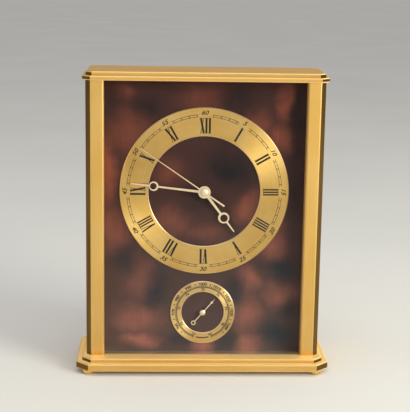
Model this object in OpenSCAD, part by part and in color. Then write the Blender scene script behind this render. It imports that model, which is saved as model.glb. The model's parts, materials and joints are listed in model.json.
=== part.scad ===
// Mantel clock with a small barometer, in a glazed brass case.
// The origin is under the middle of the base. The dial looks along -Y, and +Z is up.

/* [Case] */
// Overall height, from the surface it stands on to the top of the lid
case_h = 190; // [188:1:230]
// Width over the side faces of the corner posts
body_w = 147.3; // [140:0.1:180]
// Depth over the corner posts
body_d = 44.2; // [44:0.1:60]
// Height of the button feet
foot_h = 3; // [2:0.1:6]
// Radius of a button foot
foot_r = 4; // [3:0.1:6]
// How far a foot's middle stands in from the base's side edge
foot_inset_x = 7.75; // [7:0.05:12]
// How far a foot's middle stands in from the base's front or rear edge
foot_inset_y = 6.5; // [6:0.1:9]

/* [Base] */
// How far the base stands out beside the posts
base_margin_x = 6.1; // [4:0.1:12]
// How far the base stands out in front of the posts
base_margin_front = 11.2; // [8:0.1:20]
// How far the base stands out behind the posts
base_margin_rear = 8.6; // [6:0.1:20]
// Thickness of the base's lower step
base_h = 4.75; // [4:0.05:8]
// Leg of the lower step's cut corners
base_cant = 7.8; // [5:0.1:9]
// How far the upper step stands in
base_step_inset = 3.6; // [1:0.1:4]
// Thickness of the upper step
base_step_h = 2.5; // [1.5:0.1:4]
// Bevel along the edges of both steps
base_bevel = 0.7; // [0.2:0.05:1.2]

/* [Lid] */
// How far the lid stands out beside the posts
lid_margin_x = 2; // [0.5:0.1:5]
// How far the lid stands out in front of and behind the posts
lid_margin_y = 2.4; // [0.5:0.1:5]
// Thickness of the lid's lower step
lid_h = 2.8; // [2:0.1:5]
// Leg of the lid's cut corners
lid_cant = 5.1; // [3:0.1:7]
// How far the lid's upper step stands in
lid_step_inset = 2.2; // [1:0.1:4]
// Thickness of the lid's upper step
lid_step_h = 2.5; // [1.5:0.1:4]
// Bevel along the edges of the lid's steps
lid_bevel = 0.6; // [0.2:0.05:0.9]

/* [Posts] */
// Width of a post, seen from the front, cut corner included
post_w = 11.05; // [10.5:0.05:13]
// Leg of a post's cut corner
post_cant = 3.25; // [1:0.05:4]
// Small bevel along a post's inner front edge, half as deep along the outer one
post_bevel = 0.8; // [0.3:0.1:1.2]
// Metal left behind the dial panel's slot
post_back_wall = 2.5; // [2.5:0.1:4]
// Depth of a rear post
rear_post_d = 12; // [11.5:0.1:14]
// From a post's inner face to its tie rod
rod_inset_x = 6.2; // [6:0.05:6.4]
// From the case's front face to the front tie rods
rod_inset_front = 7.8; // [6:0.1:9]
// From the case's rear face to the rear tie rods
rod_inset_rear = 7; // [6.5:0.1:7.2]

/* [Glass and panels] */
// Thickness of the post in front of the glass
glass_lip = 2; // [1.5:0.1:3]
// Thickness of the front glass
glass_t = 2; // [1.5:0.1:2.5]
// From the posts' front face to the dial panel
dial_set_back = 11.8; // [11.6:0.1:16]
// Thickness of the dial panel
dial_t = 3; // [2:0.1:4]
// Thickness of a side panel
side_t = 1.5; // [1:0.1:1.8]
// How far a side panel lies behind the posts' side faces
side_inset = 1.2; // [0.8:0.1:1.3]
// Thickness of the back panel
back_t = 2; // [1.5:0.1:3]
// How far a panel reaches into a post's slot
slot_grip = 2.5; // [1.5:0.1:2.8]
// Depth of the slots in base and lid
slot_d = 1.2; // [0.6:0.1:1.5]
// Width of the rebate that takes the back panel's edge
back_rebate_w = 5; // [4:0.1:5.4]

/* [Dials] */
// From the underside of the lid down to the hands' axis
dial_drop = 69.8; // [68:0.1:72]
// From the base's upper face up to the barometer's axis
baro_rise = 26.15; // [25.5:0.05:28]
// Outer radius of the chapter ring
chapter_r = 53; // [50:0.1:53.5]
// Inner radius of the chapter ring
chapter_in_r = 35; // [32:0.1:38]
// Outer radius of the barometer's ring
baro_ring_r = 20.6; // [20:0.1:21.2]
// Inner radius of the barometer's ring
baro_ring_in_r = 13.5; // [12:0.1:14.5]
// Thickness of both rings
ring_t = 0.8; // [0.5:0.05:1.2]
// Bevel round the rings' front edges
ring_bevel = 0.35; // [0.1:0.05:0.45]
// Radius of the small feet that hold a ring in the panel
ring_foot_r = 0.8; // [0.5:0.05:1.2]
// Radius of the circle of the chapter ring's feet
chapter_feet_r = 44; // [42:0.1:46]
// Radius of the circle of the barometer ring's feet
baro_feet_r = 17; // [16.5:0.1:17.5]

/* [Hands] */
// Length of the hour hand from its axis
hour_len = 32; // [28:0.1:34]
// From the axis to the ring of the hour hand
hour_ring_at = 20.6; // [18:0.1:22]
// Outer radius of the hour hand's ring
hour_ring_r = 3.5; // [3:0.05:4]
// Length of the minute hand from its axis
minute_len = 46.3; // [43:0.1:48]
// From the axis to the ring of the minute hand
minute_ring_at = 31.9; // [30:0.1:34]
// Outer radius of the minute hand's ring
minute_ring_r = 3; // [2.8:0.05:3.6]
// Length of the seconds hand from its axis
seconds_len = 48.5; // [44:0.1:50]
// Length of the seconds hand's tail
seconds_tail = 15.3; // [10:0.1:18]
// Length of the barometer hand from its axis
baro_hand_len = 12.1; // [10:0.1:13]
// From the axis to the ring on the barometer hand's tail
baro_tail_at = 8.9; // [8:0.1:10.5]
// Thickness of the hour and minute hands
hand_t = 0.4; // [0.3:0.05:0.5]
// Thickness of the seconds and barometer hands
fine_hand_t = 0.35; // [0.25:0.05:0.45]
// Free space between one hand and the next
hand_gap = 1; // [0.6:0.1:1.2]
// Radius of the minute hand's boss, which hides the hour hand's
boss_r = 3.9; // [3.4:0.1:4.4]
// Radius of the seconds hand's domed cap
cap_r = 2.5; // [2:0.1:3]
// Height of the cap's dome
cap_h = 1.1; // [0.8:0.05:1.4]

/* [Time shown] */
// Hour hand, degrees clockwise from the top
hour_angle = 143; // [0:1:359]
// Minute hand, degrees clockwise from the top
minute_angle = 276.5; // [0:0.5:359.5]
// Seconds hand, degrees clockwise from the top
seconds_angle = 304.5; // [0:0.5:359.5]
// Barometer hand, degrees clockwise from the top
baro_angle = 40.8; // [-160:0.1:160]

/* [Movement] */
// Width and height of the square movement
mv_w = 56; // [56:0.5:60]
// Depth of the movement
mv_d = 16; // [16:0.1:17]
// Wall of the movement's case
mv_wall = 1.4; // [1.2:0.05:1.6]
// Corner radius of the movement's case
mv_corner_r = 3; // [1.5:0.1:4]
// Length of the battery, without its button
cell_len = 49.2; // [49:0.1:50]
// Radius of the battery
cell_r = 7.1; // [7:0.05:7.2]
// Radius of the setting knob
knob_r = 4.5; // [3.5:0.1:6]
// Height of the setting knob
knob_h = 3.2; // [2:0.1:4]

/* [Wheel train] */
// Distance from the hands' axis to the third wheel's and to the step wheel's
train_dist = 9.4; // [9.3:0.05:9.8]
// Distance from the hands' axis to the motion wheel's, and on to the setting pinion's
motion_dist = 9; // [8.8:0.05:9.2]
// Distance from the step wheel's axis to the rotor's
rotor_dist = 4.8; // [4.7:0.05:5]
// Thickness of every wheel
wheel_t = 0.8; // [0.6:0.05:0.9]
// Radius of the seconds arbor
seconds_arbor_r = 0.5; // [0.45:0.01:0.52]
// Outer radius of the minute hand's tube
cannon_r = 1.3; // [1.25:0.01:1.4]
// Outer radius of the hour hand's pipe
pipe_r = 2.1; // [2.05:0.01:2.3]
// Outer radius of the bush that carries them through the panel
bush_r = 3.2; // [2.9:0.05:3.4]
// Radius of the motion wheel's arbor
motion_arbor_r = 0.5; // [0.4:0.01:0.6]
// Radius of the third wheel's arbor
third_arbor_r = 0.4; // [0.3:0.01:0.45]
// Radius of the step wheel's and the rotor's arbor
fine_arbor_r = 0.3; // [0.25:0.01:0.35]
// Radius of the setting knob's shaft
setting_shaft_r = 1; // [0.8:0.05:1.3]

/* [Barometer] */
// Outer radius of the barometer's can
can_r = 24; // [23.5:0.1:24.5]
// Wall of the can
can_wall = 0.8; // [0.6:0.05:1]
// Thickness of the can's front and of its lid
can_end_t = 1; // [0.9:0.05:1.2]
// How far the can's lid lies inside the back panel's rear face
can_inset = 0.4; // [0.2:0.1:1]
// Radius of the aneroid capsule
capsule_r = 15; // [12:0.1:16]
// Thickness of the capsule at its rim
capsule_t = 3.2; // [2.5:0.1:3.6]
// Depth of the capsule's ripples
ripple_h = 0.7; // [0.4:0.05:0.8]
// Radius of the barometer hand's arbor
baro_arbor_r = 0.6; // [0.5:0.01:0.7]
// Distance from the barometer's axis to the sector's
sector_dist = 14; // [13.5:0.1:14.5]
// From the sector's axis to the pin on its tail
tail_len = 5; // [4.5:0.1:5.2]
// Length of the rocking shaft's long arm
rocker_arm = 7.5; // [7:0.1:8]
// Radius of the rocking shaft
rocker_r = 1; // [0.8:0.05:1.1]
// Turns of the hairspring
hair_turns = 4; // [3:1:5]

/* [Fasteners] */
// Radius of the tie rods
rod_r = 1.5; // [1.2:0.05:1.6]
// Radius of a tie rod's head
rod_head_r = 2.8; // [2.4:0.05:3]
// Height of a tie rod's head
rod_head_h = 1.6; // [1.2:0.1:2]
// Radius of the small screws' shanks
screw_r = 1; // [0.8:0.05:1.1]
// Radius of the small screws' heads
screw_head_r = 1.9; // [1.6:0.05:2.1]
// Height of the small screws' heads
screw_head_h = 1.1; // [0.8:0.05:1.3]
// Length of the back panel's screws below their heads
back_screw_len = 7; // [6:0.5:9]

/* [Clearances] */
// Room on each side of a panel in its slot
slot_fit = 0.1; // [0.05:0.05:0.2]
// Room round a turning arbor
turn_fit = 0.05; // [0.02:0.01:0.08]
// Room round a screw, stud or bush in its hole
hole_fit = 0.1; // [0.05:0.05:0.2]
// Space between the movement's wheels
gear_gap = 0.4; // [0.35:0.01:0.42]
// Space that keeps the opened pivot of the barometer's linkage free
link_gap = 0.3; // [0.2:0.05:0.4]

/* [Hidden] */

// Facets of the round parts, all above the number at which a circle is a true one
fine_fn = 96;
small_fn = 48;
// Overrun of every cut past the face it starts from
over = 1;

// Teeth
hour_teeth = 40;
motion_teeth = 36;
motion_leaves = 10;
cannon_leaves = 12;
centre_teeth = 64;
third_teeth = 60;
third_leaves = 8;
seconds_teeth = 60;
seconds_leaves = 8;
step_teeth = 40;
step_leaves = 10;
rotor_leaves = 8;
sector_teeth = 100;
baro_leaves = 12;
// Shares of the module, and of one pitch, that give a wheel's and a pinion's tooth
wheel_tooth_shares = [1.05, 0.85, 0.27, 0.10];
pinion_tooth_shares = [1.35, 0.55, 0.26, 0.12];

// Case levels and faces
floor_z = foot_h + base_h + base_step_h;
ceiling_z = case_h - lid_h - lid_step_h;
base_w = body_w + 2 * base_margin_x;
base_d = body_d + base_margin_front + base_margin_rear;
lid_w = body_w + 2 * lid_margin_x;
lid_d = body_d + 2 * lid_margin_y;
side_x = body_w / 2;
inner_x = side_x - post_w;
front_y = base_margin_front - base_d / 2;
rear_y = base_d / 2 - base_margin_rear;
glass_y = front_y + glass_lip;
dial_y = front_y + dial_set_back;
dial_rear_y = dial_y + dial_t;
front_post_rear_y = dial_rear_y + post_back_wall;
rear_post_y = rear_y - rear_post_d;
back_y = rear_y - back_t;
panel_x = inner_x + slot_grip;
panel_low_z = floor_z - slot_d;
panel_high_z = ceiling_z + slot_d - slot_fit;
rod_x = inner_x + rod_inset_x;
rod_front_y = front_y + rod_inset_front;
rod_rear_y = rear_y - rod_inset_rear;
rod_bite = lid_h + lid_step_h / 5;
rod_sink = rod_head_h + slot_fit;
dial_c = [0, ceiling_z - dial_drop];
baro_c = [0, floor_z + baro_rise];

// Hands, from the rings towards the glass
ring_face_y = dial_y - ring_t;
hour_hand_y = ring_face_y - hand_gap;
minute_hand_y = hour_hand_y - hand_t - hand_gap;
seconds_hand_y = minute_hand_y - hand_t - hand_gap;
hand_boss_t = hand_t + hand_t / 2;
pipe_front_y = hour_hand_y - hand_boss_t;
cannon_front_y = minute_hand_y - hand_boss_t;
push_fit = turn_fit / 2;
hour_boss_share = 0.9;

// Movement planes, from the dial panel backwards
mv_front_y = dial_rear_y;
mv_in_y = mv_front_y + mv_wall;
mv_rear_y = mv_front_y + mv_d;
cover_y = mv_rear_y - mv_wall;
mid_plate_t = 1;
hour_y = mv_in_y + gear_gap;
motion_y = hour_y + wheel_t + 2 * gear_gap;
mid_y = motion_y + wheel_t + 2 * gear_gap;
centre_y = mid_y + mid_plate_t + 1.5 * gear_gap;
third_y = centre_y + wheel_t + 4 * gear_gap;
stator_t = 0.8;
stator_y = third_y + wheel_t + gear_gap;
seconds_y = stator_y + stator_t + gear_gap;
step_y = seconds_y + wheel_t + 1.5 * gear_gap;
leaf_over = gear_gap / 2;
pivot_deep = 0.65 * mv_wall;
pivot_end_y = cover_y + pivot_deep;
pivot_slack = turn_fit * 2;
hub_r = 2.2;
hub_t = gear_gap * 1.2;

// Movement outline
cell_button_h = 1;
cell_end_room = 1.5;
// The case is as wide as set, or as its cell needs
mv_wide = max(mv_w, cell_len + cell_button_h + 2 * (cell_end_room + mv_wall));
mv_half = mv_wide / 2;
mv_in_half = mv_half - mv_wall;
cell_room = 0.25;
bay_h = 2 * (cell_r + cell_room);
bay_z = dial_c[1] - mv_in_half;
divider_z = bay_z + bay_h;
train_low_z = divider_z + mv_wall;
train_high_z = dial_c[1] + mv_in_half;
cell_c = [0, bay_z + bay_h / 2];
cell_y = mv_in_y + cell_room + cell_r;
cell_button_r = 2.75;
contact_t = 0.4;
contact_w = 9;
bush_proud = 0.2;
peg_r = 1.5;
peg_inset = 3.6;
pegs = [for (sx = [-1, 1]) for (z = [train_low_z + peg_inset, train_high_z - peg_inset])
    [sx * (mv_in_half - peg_inset), z]];
ear_r = 3.4;
ear_t = 2;
ear_out = 3;
ear_x = mv_half + ear_out;
ear_rise = 18;
ears = [for (sx = [-1, 1]) for (sz = [-1, 1]) [sx * ear_x, dial_c[1] + sz * ear_rise]];
ear_bite = dial_t * 0.6;
blind_hole = dial_t * 0.8;

// Arbor places, as directions seen from the dial
third_dir = 20;
step_dir = 100;
rotor_dir = 120;
motion_dir = 160;
setting_dir = 180;
third_c = dial_c + along(train_dist, third_dir);
step_c = dial_c + along(train_dist, step_dir);
rotor_c = step_c + along(rotor_dist, rotor_dir);
motion_c = dial_c + along(motion_dist, motion_dir);
setting_c = motion_c + along(motion_dist, setting_dir);

// Tooth sizes that make each pair meet at its centre distance
motion_mod = 2 * motion_dist / (cannon_leaves + motion_teeth);
hour_mod = 2 * motion_dist / (motion_leaves + hour_teeth);
third_mod = 2 * train_dist / (seconds_leaves + third_teeth);
centre_mod = 2 * train_dist / (third_leaves + centre_teeth);
seconds_mod = 2 * train_dist / (step_leaves + seconds_teeth);
step_mod = 2 * rotor_dist / (rotor_leaves + step_teeth);
sector_mod = 2 * sector_dist / (baro_leaves + sector_teeth);

// Directions of one tooth of each toothed piece, so that every pair is in mesh
cannon_phase = motion_dir;
motion_phase = meshing(motion_dir, cannon_phase, cannon_leaves, motion_teeth);
setting_phase = meshing(setting_dir, motion_phase, motion_teeth, cannon_leaves);
hour_phase = motion_dir;
motion_leaf_phase = meshing(motion_dir, hour_phase, hour_teeth, motion_leaves);
seconds_leaf_phase = third_dir;
third_phase = meshing(third_dir, seconds_leaf_phase, seconds_leaves, third_teeth);
centre_phase = third_dir;
third_leaf_phase = meshing(third_dir, centre_phase, centre_teeth, third_leaves);
seconds_phase = step_dir;
step_leaf_phase = meshing(step_dir, seconds_phase, seconds_teeth, step_leaves);
step_phase = rotor_dir;
rotor_phase = meshing(rotor_dir, step_phase, step_teeth, rotor_leaves);

// Coil and stator
magnet_r = 2.4;
magnet_t = 2.4;
magnet_gap = 0.3;
stator_ring = 0.8;
coil_rise = 21;
coil_z = dial_c[1] + coil_rise;
coil_half = 10;
coil_r = 3.2;
coil_flange_r = 3.6;
coil_flange_t = 0.8;
core_half = 14;
core_h = 2.4;
stator_bar_h = 3.6;

// Circuit board
board_x = 15;
board_low = 3;
board_high = 15;
board_t = 0.8;
board_y = seconds_y;
chip_r = 2.5;
crystal_r = 1;
crystal_len = 6;

// Barometer planes, from the can's front backwards
can_front_y = dial_rear_y;
can_in_y = can_front_y + can_end_t;
can_rear_y = rear_y - can_inset;
can_lid_y = can_rear_y - can_end_t;
can_in_r = can_r - can_wall;
baro_hole_r = 2;
hair_gap = 1;
hair_y = can_in_y + hair_gap;
hair_w = 0.5;
hair_ribbon = 0.15;
hair_in_r = 1.35;
hair_out_r = 5.2;
hair_stud_r = 0.5;
collet_r = 1.2;
sector_gap = 3.2;
sector_y = can_in_y + sector_gap;
sector_t = 0.8;
bridge_gap = 6.5;
bridge_y = can_in_y + bridge_gap;
bridge_t = 0.8;
tail_pin_r = 0.5;
tail_pin_len = 1.6;
tail_pin_y = sector_y + sector_t + tail_pin_len;
arm_clear = 0.4;
arm_tip_y = sector_y + sector_t + arm_clear;
arm_past_pin = 0.2;
rocker_y = arm_tip_y + arm_past_pin + rocker_arm;
arm_w = 1.2;
arm_h = 1;
finger_w = 1.2;
finger_t = 0.8;
finger_h = 2.8;
rocker_drop = 2;
finger_travel = 0.45;
post_gap = link_gap + finger_travel;
capsule_post_y = rocker_y + finger_t / 2 + post_gap;
capsule_post_len = 1.8;
capsule_post_r = 1;
capsule_rim_t = 0.8;
ripples = 4;
rippled_share = 0.9;
capsule_y = capsule_post_y + capsule_post_len;
bar_t = 1.4;
bar_w = 9;
capsule_stud_len = 1;
bar_y = capsule_y + capsule_t + capsule_stud_len;
adjust_r = 1.5;
adjust_tip_y = bar_y + bar_t + slot_fit;
adjust_slot_w = 0.6;
adjust_slot_d = 0.8;
vent_r = 1.2;
vent_at = 15;
can_ear_r = 3.2;
can_ear_out = 2.4;
can_ear_at = can_r + can_ear_out;
can_ears = [for (a = [90, 210, 330]) baro_c + along(can_ear_at, a)];

// Sector and its pinion. The scale runs 160 degrees to each side of the top.
scale_half = 160;
sector_ratio = baro_leaves / sector_teeth;
sector_swing = scale_half * sector_ratio;
sector_spare = 4;
sector_half = sector_swing + sector_spare;
sector_c = baro_c + [sqrt(pow(sector_dist, 2) - pow(rocker_drop, 2)), -rocker_drop];
sector_dir = atan2(rocker_drop, -sqrt(pow(sector_dist, 2) - pow(rocker_drop, 2)));
sector_mid = sector_dir + baro_angle * sector_ratio;
baro_leaf_phase = sector_dir - 180;
sector_phase = meshing(baro_leaf_phase, baro_leaf_phase, baro_leaves, sector_teeth);
sector_arbor_r = 0.6;
sector_hub_r = 2.2;
sector_web_w = 2.4;
tail_pin_c = sector_c + [tail_len, arm_h / 2 + link_gap + tail_pin_r];
bracket_t = 1.4;
bracket_half = 1.9;
// Places on the bridge as shares of the distance between its two arbors
bracket_shares = [-0.24, 1.04];
bracket_xs = sector_dist * bracket_shares;
bridge_shares = [[-0.71, -0.46], [1.21, 0.51]];
bridge_low = baro_c + sector_dist * bridge_shares[0];
bridge_high = baro_c + sector_dist * bridge_shares[1];
bridge_post_shares = [[-0.57, 0.31], [-0.57, -0.31], [1, 0.39]];
bridge_post_r = 1.2;

// Colours
brass = [0.86, 0.68, 0.36];
bright_brass = [0.93, 0.78, 0.47];
lacquer = [0.27, 0.15, 0.13];
steel = [0.72, 0.73, 0.75];
black_plastic = [0.10, 0.10, 0.11];
white_plastic = [0.88, 0.87, 0.82];
copper = [0.72, 0.38, 0.20];

function along(r, a) = [r * cos(a), r * sin(a)];
function inset_cant(cant, inset) = cant - inset * (2 - sqrt(2));
// Direction of a tooth of the second of two meshing gears, from that of the first
function meshing(dir, phase, n_first, n_second) =
    dir + 180 - (0.5 - (dir - phase) * n_first / 360) * 360 / n_second;
function tooth(m, n, a, s) = let (p = 360 / n, root = m * (n / 2 - s[0]), tip = m * (n / 2 + s[1])) [
    along(root, a - s[2] * p), along(tip, a - s[3] * p), along(tip, a + s[3] * p), along(root, a + s[2] * p),
];

// A plate seen from the front: its outline is drawn in x and z, and it spans two depths
module slab(y_front, y_rear) {
    translate([0, y_rear, 0]) rotate([90, 0, 0]) linear_extrude(y_rear - y_front) children();
}

// A round bar along y
module rod(c, y_front, y_rear, r, fn = small_fn) {
    slab(y_front, y_rear) translate(c) circle(r = r, $fn = fn);
}

// A turned piece about y: its profile's height runs from y_rear towards the front
module turned(c, y_rear, fn = fine_fn) {
    translate([c[0], y_rear, c[1]]) rotate([90, 0, 0]) rotate_extrude($fn = fn) children();
}

module box(low, high) {
    translate(low) cube(high - low);
}

module rect(x0, z0, x1, z1) {
    translate([x0, z0]) square([x1 - x0, z1 - z0]);
}

module rounded_rect(w, h, r) {
    square([w - 2 * r, h], center = true);
    square([w, h - 2 * r], center = true);
    for (sx = [-1, 1]) for (sz = [-1, 1])
        translate([sx * (w / 2 - r), sz * (h / 2 - r)]) circle(r = r, $fn = small_fn);
}

module toothed(m, n, phase, s) {
    polygon([for (k = [0:n - 1]) each tooth(m, n, phase + 360 * k / n, s)]);
}

module wheel(c, m, n, phase, y_front) {
    slab(y_front, y_front + wheel_t) translate(c) toothed(m, n, phase, wheel_tooth_shares);
}

module pinion(c, m, n, phase, y_front, y_rear) {
    slab(y_front, y_rear) translate(c) toothed(m, n, phase, pinion_tooth_shares);
}

// What a bevel takes off an upper edge that runs along y
module bevel_cut(bevel, len) {
    rotate([90, 0, 0]) linear_extrude(len, center = true)
        polygon([[-bevel - over, over], [over, -bevel - over], [over, over]]);
}

// A plate with cut corners, bevelled round its upper edge and, if asked, round its lower one
module canted(w, d, cant, z_low, z_high, bevel, both = false) {
    side_reach = [w / 2, (w + d - 2 * cant) / sqrt(8), d / 2, (w + d - 2 * cant) / sqrt(8)];
    difference() {
        translate([0, 0, z_low]) linear_extrude(z_high - z_low) polygon([
            [cant - w / 2, -d / 2], [w / 2 - cant, -d / 2], [w / 2, cant - d / 2], [w / 2, d / 2 - cant],
            [w / 2 - cant, d / 2], [cant - w / 2, d / 2], [-w / 2, d / 2 - cant], [-w / 2, cant - d / 2],
        ]);
        for (side = [0:7]) rotate([0, 0, side * 45]) {
            translate([side_reach[side % 4], 0, z_high]) bevel_cut(bevel, w + d);
            if (both) translate([side_reach[side % 4], 0, z_low]) mirror([0, 0, 1]) bevel_cut(bevel, w + d);
        }
    }
}

// The slots that locate glass, dial panel and side panels, cut to a depth above and below a face
module panel_slots(z) {
    x = panel_x + slot_fit;
    for (span = [[glass_y, glass_t], [dial_y, dial_t]])
        box([-x, span[0] - slot_fit, z - slot_d], [x, span[0] + span[1] + slot_fit, z + slot_d]);
    for (s = [-1, 1]) {
        outer = side_x - side_inset;
        low_x = s > 0 ? outer - side_t - slot_fit : -outer - slot_fit;
        box([low_x, front_post_rear_y - slot_grip - slot_fit, z - slot_d],
            [low_x + side_t + 2 * slot_fit, rear_post_y + slot_grip + slot_fit, z + slot_d]);
    }
}

module at_rods() {
    for (sx = [-1, 1]) for (y = [rod_front_y, rod_rear_y]) translate([sx * rod_x, y, 0]) children();
}

module at_feet() {
    for (sx = [-1, 1]) for (sy = [-1, 1])
        translate([sx * (base_w / 2 - foot_inset_x), sy * (base_d / 2 - foot_inset_y), 0]) children();
}

foot_stud_r = foot_r * 0.35;
foot_stud_h = base_h * 0.6;

module base_plate() {
    color(brass) difference() {
        union() {
            canted(base_w, base_d, base_cant, foot_h, foot_h + base_h, base_bevel, true);
            canted(base_w - 2 * base_step_inset, base_d - 2 * base_step_inset,
                inset_cant(base_cant, base_step_inset), foot_h + base_h, floor_z, base_bevel);
        }
        panel_slots(floor_z);
        at_rods() translate([0, 0, foot_h - over]) {
            cylinder(r = rod_head_r + hole_fit, h = rod_sink + over, $fn = small_fn);
            cylinder(r = rod_r + hole_fit, h = floor_z, $fn = small_fn);
        }
        at_feet() translate([0, 0, foot_h - over])
            cylinder(r = foot_stud_r + hole_fit, h = foot_stud_h + hole_fit + over, $fn = small_fn);
    }
}

module lid_plate() {
    color(brass) difference() {
        translate([0, (front_y + rear_y) / 2, 0]) {
            canted(lid_w, lid_d, lid_cant, ceiling_z, ceiling_z + lid_h, lid_bevel, true);
            canted(lid_w - 2 * lid_step_inset, lid_d - 2 * lid_step_inset,
                inset_cant(lid_cant, lid_step_inset), ceiling_z + lid_h, case_h, lid_bevel);
        }
        panel_slots(ceiling_z);
        at_rods() translate([0, 0, ceiling_z - over])
            cylinder(r = rod_r + turn_fit, h = rod_bite + slot_fit + over, $fn = small_fn);
    }
}

// Domed button, flat underneath, with a stud that goes up into the base
module feet() {
    flat_r = foot_r * 0.6;
    dome_h = foot_h * 0.7;
    color(bright_brass) at_feet() rotate_extrude($fn = small_fn) polygon([
        [0, 0],
        for (a = [0:15:90]) [flat_r + (foot_r - flat_r) * sin(a), dome_h * (1 - cos(a))],
        [foot_r, foot_h], [foot_stud_r, foot_h],
        [foot_stud_r, foot_h + foot_stud_h], [0, foot_h + foot_stud_h],
    ]);
}

module tie_rods() {
    head_z = foot_h + rod_sink - rod_head_h;
    slot_w = rod_head_r / 4;
    color(steel) at_rods() difference() {
        union() {
            translate([0, 0, head_z]) cylinder(r = rod_head_r, h = rod_head_h, $fn = small_fn);
            translate([0, 0, head_z]) cylinder(r = rod_r, h = ceiling_z + rod_bite - head_z, $fn = small_fn);
        }
        box([-foot_r, -slot_w / 2, head_z - over], [foot_r, slot_w / 2, head_z + rod_head_h / 2]);
    }
}

// Outline of the right front post from above: face strip, cut corner, side face and its slots
module front_post_outline() {
    x_slot = panel_x + slot_fit;
    side_out = side_x - side_inset + slot_fit;
    outer_bevel = post_bevel / 2;
    difference() {
        polygon([
            [inner_x, front_y + post_bevel], [inner_x + post_bevel, front_y],
            [side_x - post_cant - outer_bevel, front_y],
            [side_x - post_cant + outer_bevel * cos(45), front_y + outer_bevel * sin(45)],
            [side_x, front_y + post_cant],
            [side_x, front_post_rear_y], [inner_x, front_post_rear_y],
        ]);
        rect(inner_x - over, glass_y - slot_fit, x_slot, glass_y + glass_t + slot_fit);
        rect(inner_x - over, dial_y - slot_fit, x_slot, dial_rear_y + slot_fit);
        rect(side_out - side_t - 2 * slot_fit, front_post_rear_y - slot_grip - slot_fit,
            side_out, front_post_rear_y + over);
        translate([rod_x, rod_front_y]) circle(r = rod_r + hole_fit, $fn = small_fn);
    }
}

module rear_post_outline() {
    side_out = side_x - side_inset + slot_fit;
    difference() {
        polygon([
            [inner_x, rear_post_y], [side_x, rear_post_y], [side_x, rear_y - post_cant],
            [side_x - post_cant, rear_y], [inner_x + back_rebate_w, rear_y],
            [inner_x + back_rebate_w, back_y], [inner_x, back_y],
        ]);
        rect(side_out - side_t - 2 * slot_fit, rear_post_y - over, side_out, rear_post_y + slot_grip + slot_fit);
        translate([rod_x, rod_rear_y]) circle(r = rod_r + hole_fit, $fn = small_fn);
    }
}

back_screw_x = inner_x + back_rebate_w / 2;
back_screw_edge = 12;
back_screw_zs = [floor_z + back_screw_edge, (floor_z + ceiling_z) / 2, ceiling_z - back_screw_edge];

module front_post() {
    translate([0, 0, floor_z]) linear_extrude(ceiling_z - floor_z) front_post_outline();
}

module rear_post() {
    difference() {
        translate([0, 0, floor_z]) linear_extrude(ceiling_z - floor_z) rear_post_outline();
        for (z = back_screw_zs)
            rod([back_screw_x, z], back_y + back_t - back_screw_len - slot_fit, rear_y + over, screw_r + turn_fit);
    }
}

module post_front_right() { color(brass) front_post(); }
module post_front_left() { color(brass) mirror([1, 0, 0]) front_post(); }
module post_rear_right() { color(brass) rear_post(); }
module post_rear_left() { color(brass) mirror([1, 0, 0]) rear_post(); }

module side_panel() {
    outer = side_x - side_inset;
    box([outer - side_t, front_post_rear_y - slot_grip, panel_low_z],
        [outer, rear_post_y + slot_grip, panel_high_z]);
}

module side_panel_right() { color(brass) side_panel(); }
module side_panel_left() { color(brass) mirror([1, 0, 0]) side_panel(); }

module front_glass() {
    color([0.85, 0.92, 0.92, 0.3]) box([-panel_x, glass_y, panel_low_z], [panel_x, glass_y + glass_t, panel_high_z]);
}

chapter_feet = [for (a = [45:90:315]) dial_c + along(chapter_feet_r, a)];
baro_feet = [for (a = [45:90:315]) baro_c + along(baro_feet_r, a)];

module dial_panel() {
    color(lacquer) difference() {
        slab(dial_y, dial_rear_y) difference() {
            rect(-panel_x, panel_low_z, panel_x, panel_high_z);
            translate(dial_c) circle(r = bush_r + hole_fit, $fn = small_fn);
            translate(baro_c) circle(r = baro_hole_r, $fn = small_fn);
            for (c = concat(chapter_feet, baro_feet)) translate(c) circle(r = ring_foot_r + hole_fit, $fn = small_fn);
        }
        for (c = concat(ears, can_ears)) rod(c, dial_rear_y - blind_hole, dial_rear_y + over, screw_r + turn_fit);
    }
}

// A flat brass ring with bevelled edges, held by four small feet in the panel
module dial_ring(c, r_out, r_in, feet_at) {
    turned(c, dial_y) polygon([
        [r_in, 0], [r_in, ring_t - ring_bevel], [r_in + ring_bevel, ring_t],
        [r_out - ring_bevel, ring_t], [r_out, ring_t - ring_bevel], [r_out, 0],
    ]);
    for (f = feet_at) rod(f, dial_y - ring_t / 2, dial_rear_y - slot_fit, ring_foot_r);
}

module chapter_ring() { color(bright_brass) dial_ring(dial_c, chapter_r, chapter_in_r, chapter_feet); }
module barometer_ring() { color(bright_brass) dial_ring(baro_c, baro_ring_r, baro_ring_in_r, baro_feet); }

window_margin = 1.5;
service_half = mv_half + window_margin;
can_hole_fit = 0.3;
can_hole_r = can_r + can_hole_fit;

module back_panel() {
    half = inner_x + back_rebate_w - slot_fit;
    color(brass) slab(back_y, rear_y) difference() {
        rect(-half, floor_z + slot_fit, half, ceiling_z - slot_fit);
        translate(dial_c) rounded_rect(2 * service_half, 2 * service_half, mv_corner_r);
        translate(baro_c) circle(r = can_hole_r, $fn = fine_fn);
        for (sx = [-1, 1]) for (z = back_screw_zs)
            translate([sx * back_screw_x, z]) circle(r = screw_r + hole_fit, $fn = small_fn);
    }
}

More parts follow.
